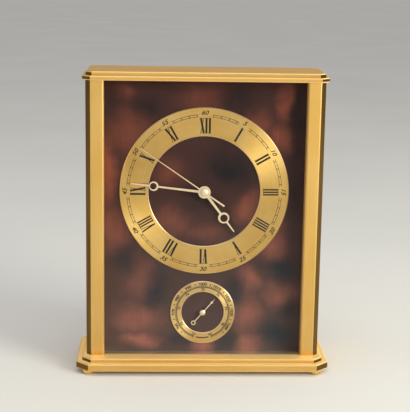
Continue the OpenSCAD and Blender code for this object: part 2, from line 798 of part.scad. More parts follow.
// Slotted round-head screw that is driven from behind, its head's seat at y_seat
module rear_screw(c, y_seat, bite) {
    slot_w = screw_head_r / 4;
    difference() {
        union() {
            turned(c, y_seat + screw_head_h, small_fn) polygon([
                [0, 0], for (a = [0:30:90]) [screw_head_r * sin(a), screw_head_h / 2 * (1 - cos(a))],
                [screw_head_r, screw_head_h], [0, screw_head_h],
            ]);
            rod(c, y_seat - bite, y_seat + screw_head_h / 2, screw_r);
        }
        box([c[0] - foot_r, y_seat + screw_head_h / 2, c[1] - slot_w / 2],
            [c[0] + foot_r, y_seat + screw_head_h + over, c[1] + slot_w / 2]);
    }
}

module back_screws() {
    color(steel) for (sx = [-1, 1]) for (z = back_screw_zs)
        rear_screw([sx * back_screw_x, z], rear_y, back_screw_len);
}

// Moulded shell: bush to the front, room for the train above, open bay for the battery below
module movement_case() {
    color(black_plastic) difference() {
        union() {
            slab(mv_front_y, mv_rear_y) translate(dial_c) rounded_rect(mv_wide, mv_wide, mv_corner_r);
            rod(dial_c, dial_y - bush_proud, mv_front_y + mv_wall, bush_r);
            for (c = ears) slab(mv_front_y, mv_front_y + ear_t) {
                translate(c) circle(r = ear_r, $fn = small_fn);
                rect(min(c[0], sign(c[0]) * (mv_half - mv_wall / 2)), c[1] - ear_r,
                    max(c[0], sign(c[0]) * (mv_half - mv_wall / 2)), c[1] + ear_r);
            }
        }
        difference() {
            box([-mv_in_half, mv_in_y, train_low_z], [mv_in_half, mv_rear_y + over, train_high_z]);
            for (c = pegs) rod(c, mv_front_y, mid_y, peg_r);
        }
        box([-mv_in_half, mv_in_y, bay_z], [mv_in_half, mv_rear_y + over, divider_z]);
        rod(dial_c, dial_y - over, mv_in_y + over, pipe_r + turn_fit);
        for (c = ears) rod(c, mv_front_y - over, mv_rear_y, screw_r + hole_fit);
        rod(motion_c, mv_in_y - pivot_deep, mv_in_y + over, motion_arbor_r + turn_fit);
        rod(setting_c, mv_in_y - pivot_deep, mv_in_y + over, setting_shaft_r + turn_fit);
    }
}

module movement_cover() {
    lid_fit = slot_fit;
    color(black_plastic) difference() {
        union() {
            slab(cover_y, mv_rear_y) rect(lid_fit - mv_in_half, train_low_z + lid_fit,
                mv_in_half - lid_fit, train_high_z - lid_fit);
            for (c = pegs) rod(c, mid_y + mid_plate_t, cover_y + mv_wall / 2, peg_r);
        }
        for (p = [[third_c, third_arbor_r], [step_c, fine_arbor_r], [rotor_c, fine_arbor_r], [dial_c, seconds_arbor_r]])
            rod(p[0], cover_y - over, pivot_end_y + pivot_slack, p[1] + turn_fit);
        rod(setting_c, cover_y - over, mv_rear_y + over, setting_shaft_r + turn_fit);
    }
}

module movement_screws() {
    color(steel) for (c = ears) rear_screw(c, mv_front_y + ear_t, ear_t + ear_bite);
}

module middle_plate() {
    color(white_plastic) slab(mid_y, mid_y + mid_plate_t) difference() {
        rect(slot_fit - mv_in_half, train_low_z + slot_fit, mv_in_half - slot_fit, train_high_z - slot_fit);
        for (p = [[dial_c, cannon_r], [third_c, third_arbor_r], [step_c, fine_arbor_r], [rotor_c, fine_arbor_r],
            [motion_c, motion_arbor_r], [setting_c, setting_shaft_r]])
            translate(p[0]) circle(r = p[1] + turn_fit, $fn = small_fn);
    }
}

// Cylindrical cell lying in its bay, with its button to the right
module battery() {
    half = cell_len / 2;
    color([0.25, 0.42, 0.30]) translate([cell_c[0] - half - cell_button_h / 2, cell_y, cell_c[1]]) rotate([0, 90, 0]) {
        cylinder(r = cell_r, h = cell_len, $fn = fine_fn);
        cylinder(r = cell_button_r, h = cell_len + cell_button_h, $fn = small_fn);
    }
}

// Spring strips at the two ends of the bay, each bent to a small bow that presses on the cell
module battery_contacts() {
    half = cell_len / 2 + cell_button_h / 2;
    bow = mv_in_half - half - contact_t;
    color(steel) for (s = [-1, 1]) {
        wall_x = s > 0 ? mv_in_half - contact_t : -mv_in_half;
        box([wall_x, cell_y - contact_w / 2, bay_z + cell_room], [wall_x + contact_t, cell_y + contact_w / 2, divider_z - cell_room]);
        inner = s > 0 ? half + slot_fit : -mv_in_half + contact_t;
        box([inner, cell_y - contact_w / 4, cell_c[1] - contact_w / 4],
            [inner + bow - slot_fit, cell_y + contact_w / 4, cell_c[1] + contact_w / 4]);
    }
}

module circuit_board() {
    z0 = dial_c[1] - board_low;
    z1 = dial_c[1] + board_high;
    right = mv_in_half - slot_fit;
    color([0.13, 0.33, 0.20]) {
        box([board_x, board_y, z0], [right, board_y + board_t, z1]);
        rod([(board_x + right) / 2, z0 + 2 * chip_r], board_y + board_t / 2, board_y + 2 * board_t, chip_r);
        translate([(board_x + right) / 2, board_y + board_t + crystal_r / 2, z1 - crystal_len - crystal_r])
            cylinder(r = crystal_r, h = crystal_len, $fn = small_fn);
    }
}

// Bobbin with its winding, on the core that joins the stator's two legs
module coil() {
    color(copper) translate([-coil_half, stator_y + stator_t / 2, coil_z]) rotate([0, 90, 0]) difference() {
        union() {
            cylinder(r = coil_r, h = 2 * coil_half, $fn = small_fn);
            cylinder(r = coil_flange_r, h = coil_flange_t, $fn = small_fn);
            translate([0, 0, 2 * coil_half - coil_flange_t]) cylinder(r = coil_flange_r, h = coil_flange_t, $fn = small_fn);
        }
        box([-core_h / 2 - slot_fit, -stator_t / 2 - slot_fit, -over],
            [core_h / 2 + slot_fit, stator_t / 2 + slot_fit, 2 * coil_half + over]);
    }
}

module coil_core() {
    color(steel) box([-coil_half - slot_fit, stator_y, coil_z - core_h / 2], [coil_half + slot_fit, stator_y + stator_t, coil_z + core_h / 2]);
}

// Thin soft-iron plate whose two poles reach round the rotor
module stator() {
    low = rotor_c[1] - stator_bar_h / 3;
    color(steel) slab(stator_y, stator_y + stator_t) difference() {
        union() {
            rect(-core_half, low, core_half, low + stator_bar_h);
            translate(rotor_c) circle(r = magnet_r + magnet_gap + stator_ring, $fn = small_fn);
            for (s = [-1, 1])
                rect(s > 0 ? coil_half + slot_fit : -core_half, low,
                    s > 0 ? core_half : -coil_half - slot_fit, coil_z + core_h / 2);
        }
        translate(rotor_c) circle(r = magnet_r + magnet_gap, $fn = small_fn);
    }
}

module rotor() {
    color(steel) {
        rod(rotor_c, mid_y + slot_fit, pivot_end_y, fine_arbor_r);
        rod(rotor_c, stator_y + stator_t / 2 - magnet_t / 2, stator_y + stator_t / 2 + magnet_t / 2, magnet_r);
        pinion(rotor_c, step_mod, rotor_leaves, rotor_phase, step_y - leaf_over, step_y + wheel_t + leaf_over);
    }
}

module step_wheel() {
    color(white_plastic) {
        rod(step_c, mid_y + slot_fit, pivot_end_y, fine_arbor_r);
        pinion(step_c, seconds_mod, step_leaves, step_leaf_phase, seconds_y - leaf_over, step_y);
        wheel(step_c, step_mod, step_teeth, step_phase, step_y);
    }
}

module seconds_wheel() {
    color(bright_brass) {
        rod(dial_c, seconds_hand_y - fine_hand_t, pivot_end_y, seconds_arbor_r);
        pinion(dial_c, third_mod, seconds_leaves, seconds_leaf_phase, third_y - leaf_over, seconds_y);
        wheel(dial_c, seconds_mod, seconds_teeth, seconds_phase, seconds_y);
    }
}

module third_wheel() {
    color(white_plastic) {
        rod(third_c, mid_y + slot_fit, pivot_end_y, third_arbor_r);
        pinion(third_c, centre_mod, third_leaves, third_leaf_phase, centre_y - leaf_over, third_y);
        wheel(third_c, third_mod, third_teeth, third_phase, third_y);
    }
}

// Wheel that drives the minute tube through a friction hub
module centre_wheel() {
    color(white_plastic) difference() {
        union() {
            wheel(dial_c, centre_mod, centre_teeth, centre_phase, centre_y);
            rod(dial_c, centre_y + wheel_t / 2, centre_y + wheel_t + hub_t, hub_r);
        }
        rod(dial_c, centre_y - over, centre_y + wheel_t + hub_t + over, cannon_r + turn_fit);
    }
}

module minute_cannon() {
    color(bright_brass) difference() {
        union() {
            rod(dial_c, cannon_front_y, centre_y + wheel_t + hub_t + slot_fit, cannon_r);
            pinion(dial_c, motion_mod, cannon_leaves, cannon_phase, motion_y - leaf_over, motion_y + wheel_t + leaf_over);
        }
        rod(dial_c, cannon_front_y - over, centre_y + wheel_t + hub_t + over, seconds_arbor_r + turn_fit);
    }
}

module motion_wheel() {
    color(white_plastic) {
        rod(motion_c, mv_in_y - pivot_deep + pivot_slack, mid_y + mid_plate_t - slot_fit, motion_arbor_r);
        pinion(motion_c, hour_mod, motion_leaves, motion_leaf_phase, hour_y - leaf_over, motion_y);
        wheel(motion_c, motion_mod, motion_teeth, motion_phase, motion_y);
    }
}

module hour_wheel() {
    color(bright_brass) difference() {
        union() {
            rod(dial_c, pipe_front_y, hour_y + wheel_t, pipe_r);
            wheel(dial_c, hour_mod, hour_teeth, hour_phase, hour_y);
        }
        rod(dial_c, pipe_front_y - over, hour_y + wheel_t + over, cannon_r + turn_fit);
    }
}

// Fluted knob outside the cover, on a shaft whose pinion turns the motion wheel
module setting_knob() {
    flutes = 20;
    flute_r = knob_r * 0.12;
    knob_y = mv_rear_y + gear_gap;
    color(white_plastic) {
        rod(setting_c, mv_in_y - pivot_deep + pivot_slack, knob_y + knob_h / 2, setting_shaft_r);
        pinion(setting_c, motion_mod, cannon_leaves, setting_phase, motion_y - leaf_over, motion_y + wheel_t + leaf_over);
        slab(knob_y, knob_y + knob_h) translate(setting_c) difference() {
            circle(r = knob_r, $fn = small_fn);
            for (k = [0:flutes - 1]) translate(along(knob_r, 360 * k / flutes)) circle(r = flute_r, $fn = small_fn);
        }
    }
}

// Blade from the boss to the ring, then a slender bar that narrows a little to its tip
module ringed_blade(len, ring_at, ring_r, root_half, neck_half) {
    ring_in_r = ring_r * 0.69;
    tip_half = neck_half * 0.6;
    bar_from = ring_at + ring_r * 0.9;
    bar_to = len - neck_half;
    difference() {
        union() {
            polygon([[-root_half, 0], [root_half, 0], [neck_half, ring_at], [-neck_half, ring_at]]);
            translate([0, ring_at]) circle(r = ring_r, $fn = small_fn);
            polygon([
                [-neck_half, bar_from], [-tip_half, bar_to], [0, len], [tip_half, bar_to], [neck_half, bar_from],
            ]);
        }
        translate([0, ring_at + ring_r * 0.08]) circle(r = ring_in_r, $fn = small_fn);
    }
}

hour_root_half = 0.95;
hour_neck_half = 0.6;
minute_root_half = 0.8;
minute_neck_half = 0.5;
seconds_root_half = 0.4;
seconds_tip_half = 0.15;
seconds_tail_half = 0.55;

module hour_hand() {
    color(bright_brass) difference() {
        union() {
            slab(hour_hand_y - hand_t, hour_hand_y) translate(dial_c) rotate(-hour_angle)
                ringed_blade(hour_len, hour_ring_at, hour_ring_r, hour_root_half, hour_neck_half);
            rod(dial_c, hour_hand_y - hand_boss_t, hour_hand_y, boss_r * hour_boss_share);
        }
        rod(dial_c, hour_hand_y - hand_boss_t - over, hour_hand_y + over, pipe_r + push_fit);
    }
}

module minute_hand() {
    color(bright_brass) difference() {
        union() {
            slab(minute_hand_y - hand_t, minute_hand_y) translate(dial_c) rotate(-minute_angle)
                ringed_blade(minute_len, minute_ring_at, minute_ring_r, minute_root_half, minute_neck_half);
            rod(dial_c, minute_hand_y - hand_boss_t, minute_hand_y, boss_r);
        }
        rod(dial_c, minute_hand_y - hand_boss_t - over, minute_hand_y + over, cannon_r + push_fit);
    }
}

// Thin hand with a counterpoise tail, under a domed cap that hides the tubes
module seconds_hand() {
    color(bright_brass) {
        slab(seconds_hand_y - fine_hand_t, seconds_hand_y) translate(dial_c) rotate(-seconds_angle) difference() {
            union() {
                polygon([
                    [-seconds_tail_half, -seconds_tail], [seconds_tail_half, -seconds_tail],
                    [seconds_root_half, 0], [seconds_tip_half, seconds_len], [-seconds_tip_half, seconds_len],
                    [-seconds_root_half, 0],
                ]);
                circle(r = cap_r, $fn = fine_fn);
            }
            circle(r = seconds_arbor_r + push_fit, $fn = small_fn);
        }
        turned(dial_c, seconds_hand_y - fine_hand_t) polygon([
            [0, 0], [cap_r, 0], for (a = [0:15:90]) [cap_r * cos(a), cap_h * sin(a)],
        ]);
    }
}

// Deep round can, closed in front but for the arbor's hole, with three ears
module barometer_can() {
    color(steel) difference() {
        union() {
            rod(baro_c, can_front_y, can_rear_y, can_r, fine_fn);
            for (c = can_ears) slab(can_front_y, can_front_y + can_end_t) translate(c) circle(r = can_ear_r, $fn = small_fn);
        }
        rod(baro_c, can_in_y, can_rear_y + over, can_in_r, fine_fn);
        rod(baro_c, can_front_y - over, can_in_y + over, baro_arbor_r + turn_fit);
        rod(sector_c, can_in_y - can_end_t * 0.7, can_in_y + over, sector_arbor_r + turn_fit);
        for (c = can_ears) rod(c, can_front_y - over, can_in_y + over, screw_r + hole_fit);
    }
}

module barometer_lid() {
    color(steel) slab(can_lid_y, can_rear_y) difference() {
        translate(baro_c) circle(r = can_in_r - slot_fit / 2, $fn = fine_fn);
        translate(baro_c) circle(r = adjust_r + turn_fit, $fn = small_fn);
        for (a = [0:60:300]) translate(baro_c + along(vent_at, a)) circle(r = vent_r, $fn = small_fn);
    }
}

module barometer_screws() {
    color(steel) for (c = can_ears) rear_screw(c, can_front_y + can_end_t, can_end_t + ear_bite);
}

// Plate on three posts that carries the arbors, with two brackets for the rocking shaft
module barometer_bridge() {
    rocker_c_z = baro_c[1] - rocker_drop;
    color(bright_brass) difference() {
        union() {
            slab(bridge_y, bridge_y + bridge_t)
                rect(bridge_low[0], bridge_low[1], bridge_high[0], bridge_high[1]);
            for (p = bridge_post_shares) rod(baro_c + sector_dist * p, can_in_y, bridge_y + bridge_t / 2, bridge_post_r);
            for (x = bracket_xs) box([x, bridge_y + bridge_t / 2, rocker_c_z - bracket_half],
                [x + bracket_t, rocker_y + bracket_half, rocker_c_z + bracket_half]);
        }
        rod(baro_c, bridge_y - over, bridge_y + bridge_t + over, baro_arbor_r + turn_fit);
        rod(sector_c, bridge_y - over, bridge_y + bridge_t + over, sector_arbor_r + turn_fit);
        translate([bracket_xs[0] - over, rocker_y, rocker_c_z]) rotate([0, 90, 0])
            cylinder(r = rocker_r + turn_fit, h = bracket_xs[1] - bracket_xs[0] + bracket_t + 2 * over, $fn = small_fn);
    }
}

// Sealed capsule with rippled faces, a post in front and a stud behind
module aneroid_capsule() {
    steps = 2 * ripples;
    face = [for (k = [0:steps]) [capsule_r * rippled_share * k / steps, k % 2 == 0 ? ripple_h : 0]];
    color(bright_brass) {
        turned(baro_c, capsule_y + capsule_t) polygon(concat(
            face,
            [[capsule_r, (capsule_t - capsule_rim_t) / 2], [capsule_r, (capsule_t + capsule_rim_t) / 2]],
            [for (k = [steps:-1:0]) [face[k][0], capsule_t - face[k][1]]]
        ));
        rod(baro_c, capsule_post_y, capsule_y + capsule_t / 2, capsule_post_r);
        rod(baro_c, capsule_y + capsule_t / 2, bar_y, capsule_post_r);
    }
}

// Sprung bar across the can that carries the capsule and takes the adjusting screw's thrust
module capsule_bar() {
    color(steel) slab(bar_y, bar_y + bar_t) intersection() {
        translate(baro_c) circle(r = can_in_r - slot_fit / 2, $fn = fine_fn);
        rect(-can_r, baro_c[1] - bar_w / 2, can_r, baro_c[1] + bar_w / 2);
    }
}

// Shaft along x with a short finger at the capsule's post and a long arm under the sector's pin
module rocking_shaft() {
    z = baro_c[1] - rocker_drop;
    arm_x = tail_pin_c[0] - arm_w / 2;
    left = bracket_xs[0] - rocker_r / 2;
    color(steel) {
        translate([left, rocker_y, z]) rotate([0, 90, 0])
            cylinder(r = rocker_r, h = arm_x + arm_w - left, $fn = small_fn);
        box([baro_c[0] - finger_w / 2, rocker_y - finger_t / 2, z],
            [baro_c[0] + finger_w / 2, rocker_y + finger_t / 2, z + finger_h]);
        box([arm_x, arm_tip_y, z - arm_h / 2], [arm_x + arm_w, rocker_y, z + arm_h / 2]);
    }
}

// Toothed sector on its arbor, with a tail whose pin the rocking shaft's arm moves
module sector() {
    rim_r = sector_mod * (sector_teeth / 2 - wheel_tooth_shares[0]);
    pitch = 360 / sector_teeth;
    first = ceil((sector_mid - sector_half - sector_phase) / pitch);
    last = floor((sector_mid + sector_half - sector_phase) / pitch);
    color(bright_brass) {
        slab(sector_y, sector_y + sector_t) translate(sector_c) {
            difference() {
                polygon(concat([[0, 0]],
                    [for (k = [first:last]) each tooth(sector_mod, sector_teeth, sector_phase + k * pitch, wheel_tooth_shares)]));
                polygon([
                    along(sector_hub_r * 1.4, sector_mid), along(rim_r - sector_web_w, sector_mid - sector_half * 0.6),
                    along(rim_r - sector_web_w, sector_mid + sector_half * 0.6),
                ]);
            }
            circle(r = sector_hub_r, $fn = small_fn);
            rect(0, -tail_pin_r, tail_len + 2 * tail_pin_r, tail_pin_c[1] - sector_c[1] + 2 * tail_pin_r);
        }
        rod(sector_c, can_in_y - can_end_t * 0.6, bridge_y + bridge_t, sector_arbor_r);
        rod(tail_pin_c, sector_y + sector_t / 2, tail_pin_y, tail_pin_r);
    }
}

// Flat spiral that takes up the slack of the teeth, pinned to the can at its outer end
module hairspring() {
    steps_per_turn = 24;
    steps = hair_turns * steps_per_turn;
    start_a = 180;
    path = [for (i = [0:steps]) [hair_in_r + (hair_out_r - hair_in_r) * i / steps, start_a + 360 * i / steps_per_turn]];
    color(steel) {
        slab(hair_y, hair_y + hair_w) translate(baro_c) polygon(concat(
            [for (p = path) along(p[0], p[1])],
            [for (i = [steps:-1:0]) along(path[i][0] + hair_ribbon, path[i][1])]
        ));
        rod(baro_c + along(hair_out_r + hair_ribbon + hair_stud_r / 2, start_a), can_in_y, hair_y + 2 * hair_w, hair_stud_r);
    }
}

module barometer_arbor() {
    color(steel) {
        rod(baro_c, hour_hand_y - fine_hand_t, bridge_y + bridge_t, baro_arbor_r);
        rod(baro_c, hair_y - slot_fit, hair_y + hair_w + slot_fit, collet_r);
        pinion(baro_c, sector_mod, baro_leaves, baro_leaf_phase, sector_y - leaf_over, sector_y + sector_t + leaf_over);
    }
}

baro_boss_r = 1.9;
baro_boss_h = 0.9;
baro_bead_at = 8.9;
baro_bead_r = 0.75;
baro_tail_r = 1.5;
baro_blade_half = 0.3;

// Fine pointer with a bead near its tip and a small ring on its tail
module barometer_hand() {
    color(bright_brass) {
        slab(hour_hand_y - fine_hand_t, hour_hand_y) translate(baro_c) rotate(-baro_angle) difference() {
            union() {
                polygon([
                    [-baro_blade_half, -baro_tail_at], [baro_blade_half, -baro_tail_at],
                    [baro_blade_half, baro_bead_at], [0, baro_hand_len], [-baro_blade_half, baro_bead_at],
                ]);
                circle(r = baro_boss_r, $fn = small_fn);
                translate([0, baro_bead_at]) circle(r = baro_bead_r, $fn = small_fn);
                translate([0, -baro_tail_at]) circle(r = baro_tail_r, $fn = small_fn);
            }
            translate([0, -baro_tail_at]) circle(r = baro_tail_r * 0.6, $fn = small_fn);
            circle(r = baro_arbor_r + push_fit, $fn = small_fn);
        }
        turned(baro_c, hour_hand_y - fine_hand_t, small_fn) polygon([
            [0, 0], [baro_boss_r, 0], for (a = [0:15:90]) [baro_boss_r * cos(a), baro_boss_h * sin(a)],
        ]);
    }
}

// Slotted screw in the lid that sets the capsule to the local height above the sea
module adjusting_screw() {
    color(bright_brass) difference() {
        rod(baro_c, adjust_tip_y, can_rear_y - slot_fit, adjust_r);
        box([baro_c[0] - can_r, can_rear_y - slot_fit - adjust_slot_d, baro_c[1] - adjust_slot_w / 2],
            [baro_c[0] + can_r, can_rear_y + over, baro_c[1] + adjust_slot_w / 2]);
    }
}

base_plate();
lid_plate();
feet();
tie_rods();
post_front_left();
post_front_right();
post_rear_left();
post_rear_right();
side_panel_left();
side_panel_right();
front_glass();
dial_panel();
chapter_ring();
barometer_ring();
back_panel();
back_screws();
movement_case();
movement_cover();
movement_screws();
middle_plate();
battery();
battery_contacts();
circuit_board();
coil();
coil_core();
stator();
rotor();
step_wheel();
seconds_wheel();
third_wheel();
centre_wheel();
minute_cannon();
motion_wheel();
hour_wheel();
setting_knob();
hour_hand();
minute_hand();
seconds_hand();
barometer_can();
barometer_lid();
barometer_screws();
barometer_bridge();
aneroid_capsule();
capsule_bar();
rocking_shaft();
sector();
hairspring();
barometer_arbor();
barometer_hand();
adjusting_screw();
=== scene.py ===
# Looks of a brass mantel clock with a barometer: finishes, printed dials, floor, light and camera.
# Lengths of the clock are in millimetres, and MM turns them into Blender's metres.

import json
import math

import bmesh
import bpy
from mathutils import Matrix, Vector


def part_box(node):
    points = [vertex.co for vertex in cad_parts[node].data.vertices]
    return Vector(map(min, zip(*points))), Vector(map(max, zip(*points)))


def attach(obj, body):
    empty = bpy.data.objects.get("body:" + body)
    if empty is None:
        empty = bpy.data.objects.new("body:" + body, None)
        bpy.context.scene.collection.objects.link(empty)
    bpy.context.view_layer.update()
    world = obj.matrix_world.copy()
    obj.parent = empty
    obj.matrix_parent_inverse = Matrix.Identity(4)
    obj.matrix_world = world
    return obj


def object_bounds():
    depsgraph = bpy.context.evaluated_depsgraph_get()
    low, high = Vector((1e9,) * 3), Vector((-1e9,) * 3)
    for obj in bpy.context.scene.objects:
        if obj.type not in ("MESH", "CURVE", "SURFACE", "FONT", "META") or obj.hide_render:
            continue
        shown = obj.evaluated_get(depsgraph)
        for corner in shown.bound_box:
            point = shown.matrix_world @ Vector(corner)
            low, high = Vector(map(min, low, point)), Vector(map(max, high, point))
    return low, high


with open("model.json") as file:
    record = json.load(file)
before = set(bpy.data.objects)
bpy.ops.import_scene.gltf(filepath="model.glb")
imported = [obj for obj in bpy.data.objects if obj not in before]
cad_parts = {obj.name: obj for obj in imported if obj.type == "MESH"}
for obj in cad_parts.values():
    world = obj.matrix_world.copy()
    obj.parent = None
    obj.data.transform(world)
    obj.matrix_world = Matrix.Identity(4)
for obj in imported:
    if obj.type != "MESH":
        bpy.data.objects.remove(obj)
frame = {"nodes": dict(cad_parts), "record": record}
cad_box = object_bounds()

MM = 0.001

# The camera, as the photograph's perspective gives it: its turn, tilt and lean in degrees
CAMERA_YAW = 2.27
CAMERA_PITCH = 11.63
CAMERA_ROLL = 0.90
CAMERA_TARGET = Vector((1.06, 0, 103.17)) * MM
CAMERA_DISTANCE = 742.62 * MM
# Focal length in pixels of the photograph, whose longer side has 412 of them, and the sensor in millimetres
FOCAL_PIXELS = 1162.41
LONG_SIDE_PIXELS = 412
SENSOR = 36

# Enamel printed on the rings stands this proud, and reaches this far into the brass
PRINT_PROUD = 0.03
PRINT_SUNK = 0.01

# Chapter ring: the Roman numerals, measured from the dial's centre, and their strokes
NUMERAL_FOOT = 37.0
NUMERAL_HEAD = 46.3
STEM = 1.25
CROWDED_STEM = 0.95
STEM_GAP = 0.85
CROWDED_GAP = 0.65
SLANTED_WIDTH = 2.6
HAIRLINE = 0.36
SERIF_HEIGHT = 0.26
SERIF_REACH = 0.35
NUMERALS = ["XII", "I", "II", "III", "IIII", "V", "VI", "VII", "VIII", "IX", "X", "XI"]

# Chapter ring: the minute track's two lines, its ticks and its numbers, the lower ones foot outward
TRACK_INNER = 47.2
TRACK_OUTER = 48.6
TRACK_LINE = 0.26
TRACK_TICK = 0.42
TRACK_OVERRUN_MINUTES = 0.3
MINUTE_NUMBER_RADIUS = 49.8
MINUTE_NUMBER_HEIGHT = 2.8
MINUTE_NUMBER_SLANT = 0.3
LOWER_MINUTES = (20, 25, 30, 35, 40)

# Numbers start from plain letters of size 1. Their strokes grow by the boldness on each side, and then
# the numbers are widened
NUMBER_BOLDNESS = 0.02
SMALL_NUMBER_BOLDNESS = 0.035
NUMBER_WIDENING = 1.15

# Barometer ring: the scale's line, its ticks as length and width, and a dash at its foot, with angles
# in degrees
SCALE_HALF = 160
SCALE_RADIUS = 16.5
SCALE_LINE = 0.34
SCALE_STEP = 2
WHOLE_TICK = (1.4, 0.44)
HALF_TICK = (1.3, 0.3)
SMALL_TICK = (1.15, 0.3)
FOOT_DASH_HALF = 14
FOOT_DASH_RADIUS = SCALE_RADIUS + SCALE_LINE
FOOT_DASH_WIDTH = 2 * SCALE_LINE

# Barometer ring: centimetres of mercury inside the line, and hectopascals outside with a dot between each two
MIDDLE_CM = 75
DEGREES_PER_CM = 40
CM_RADIUS = 15.2
CM_HEIGHT = 1.6
MIDDLE_HECTOPASCAL = 1000
DEGREES_PER_10_HECTOPASCAL = 30
HECTOPASCAL_REACH = 120
HECTOPASCAL_RADIUS = 18.7
HECTOPASCAL_HEIGHT = 1.9
HECTOPASCAL_DOT_WIDTH = 0.55
HECTOPASCAL_DOT_HALF = 0.55

# Most of a noise's values lie between these two
NOISE_LOW = 0.3
NOISE_HIGH = 0.7

# A face's normal tells what the face is: the largest part of a slanted one is below the first, the sideways
# part of a steep one above the second, the upward part of an upright one below the third, and the upward part
# of faces that look down or up beyond the last two
SLANTED_BELOW = 0.985
STEEP_ABOVE = 0.6
UPRIGHT_BELOW = 0.2
DOWNWARD_BELOW = -0.5
UPWARD_ABOVE = 0.9
# A ring's flat face looks forward by more than this, and its bevels by less
RING_FACE_FORWARD = 0.95

# A cloud in the lacquer fades out at this many times its half width and half height
CLOUD_EDGE = 1.7

# Half the floor's width, in metres
FLOOR_HALF = 40


def linear(hex_colour):
    """The linear colour that a socket takes, from an sRGB hex value."""
    channels = [int(hex_colour[i:i + 2], 16) / 255 for i in (1, 3, 5)]
    return [c / 12.92 if c <= 0.04045 else ((c + 0.055) / 1.055) ** 2.4 for c in channels] + [1.0]


def add(tree, kind, inputs=None, stops=None, **settings):
    """Adds a node with its settings, links or values for its inputs, and a ramp's stops."""
    made = tree.nodes.new("ShaderNode" + kind)
    for name, value in settings.items():
        setattr(made, name, value)
    for name, value in (inputs or {}).items():
        if isinstance(value, bpy.types.NodeSocket):
            tree.links.new(value, made.inputs[name])
        else:
            made.inputs[name].default_value = value
    for index, (place, colour) in enumerate(stops or []):
        elements = made.color_ramp.elements
        element = elements[index] if index < len(elements) else elements.new(place)
        element.position = place
        element.color = linear(colour)
    return made


def new_finish(name):
    """A material with an empty tree."""
    material = bpy.data.materials.new(name)
    material.use_nodes = True
    material.node_tree.nodes.clear()
    return material, material.node_tree


def face_masks(tree, normal):
    """Masks from where a face is and the way it looks.

    They are bevels, the ones among them that look down, the upright cut corners on the clock's outside, the
    base's faces that look up in front of the glass, those behind it, and the top of the lid.
    """
    middle_height = cad_box[1].z / 2
    glass_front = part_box("front_glass")[0].y
    inner_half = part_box("dial_panel")[1].x
    unsigned = add(tree, "VectorMath", {0: normal}, operation="ABSOLUTE").outputs["Vector"]
    size_x, size_y, size_z = add(tree, "SeparateXYZ", {0: unsigned}).outputs
    face_x, _, face_z = add(tree, "SeparateXYZ", {0: normal}).outputs
    x, y, z = add(tree, "SeparateXYZ", {0: add(tree, "TexCoord").outputs["Object"]}).outputs

    largest = size_z
    for size in (size_x, size_y):
        largest = add(tree, "Math", {0: largest, 1: size}, operation="MAXIMUM").outputs["Value"]
    slanted = add(tree, "Math", {0: largest, 1: SLANTED_BELOW}, operation="LESS_THAN").outputs["Value"]
    outward = add(tree, "Math", {0: x, 1: face_x}, operation="MULTIPLY").outputs["Value"]
    outside = add(tree, "Math", {0: outward, 1: 0.0}, operation="GREATER_THAN").outputs["Value"]
    steep = add(tree, "Math", {0: size_x, 1: STEEP_ABOVE}, operation="GREATER_THAN").outputs["Value"]
    upright = add(tree, "Math", {0: size_z, 1: UPRIGHT_BELOW}, operation="LESS_THAN").outputs["Value"]
    corner = slanted
    for mask in (outside, steep, upright):
        corner = add(tree, "Math", {0: corner, 1: mask}, operation="MULTIPLY").outputs["Value"]
    bevel = add(tree, "Math", {0: slanted, 1: corner}, operation="SUBTRACT").outputs["Value"]
    downward = add(tree, "Math", {0: face_z, 1: DOWNWARD_BELOW}, operation="LESS_THAN").outputs["Value"]
    underside = add(tree, "Math", {0: bevel, 1: downward}, operation="MULTIPLY").outputs["Value"]

    upward = add(tree, "Math", {0: face_z, 1: UPWARD_ABOVE}, operation="GREATER_THAN").outputs["Value"]
    high = add(tree, "Math", {0: z, 1: middle_height}, operation="GREATER_THAN").outputs["Value"]
    lid_top = add(tree, "Math", {0: upward, 1: high}, operation="MULTIPLY").outputs["Value"]
    base_top = add(tree, "Math", {0: upward, 1: lid_top}, operation="SUBTRACT").outputs["Value"]
    behind = add(tree, "Math", {0: y, 1: glass_front}, operation="GREATER_THAN").outputs["Value"]
    between = add(tree, "Math", {0: x, 1: 0.0, 2: inner_half}, operation="COMPARE").outputs["Value"]
    recess = base_top
    for mask in (behind, between):
        recess = add(tree, "Math", {0: recess, 1: mask}, operation="MULTIPLY").outputs["Value"]
    open_top = add(tree, "Math", {0: base_top, 1: recess}, operation="SUBTRACT").outputs["Value"]
    return bevel, underside, corner, open_top, recess, lid_top


def spread(noise, low, high):
    """Inputs that spread a noise's usual values between two others."""
    return {"Value": noise, "From Min": NOISE_LOW, "From Max": NOISE_HIGH, "To Min": low, "To Max": high}


def two_tones(dark, light):
    """Stops of a ramp from one colour to another over a noise's usual values."""
    return [(NOISE_LOW, dark), (NOISE_HIGH, light)]


def masked(tree, start, layers):
    """Lays colours, or plain values as greys, one over another, each through its mask."""
    result = start
    for mask, value in layers:
        over = (value,) * 3 + (1,) if isinstance(value, float) else value
        result = add(tree, "MixRGB", {"Fac": mask, "Color1": result, "Color2": over}).outputs["Color"]
    return result


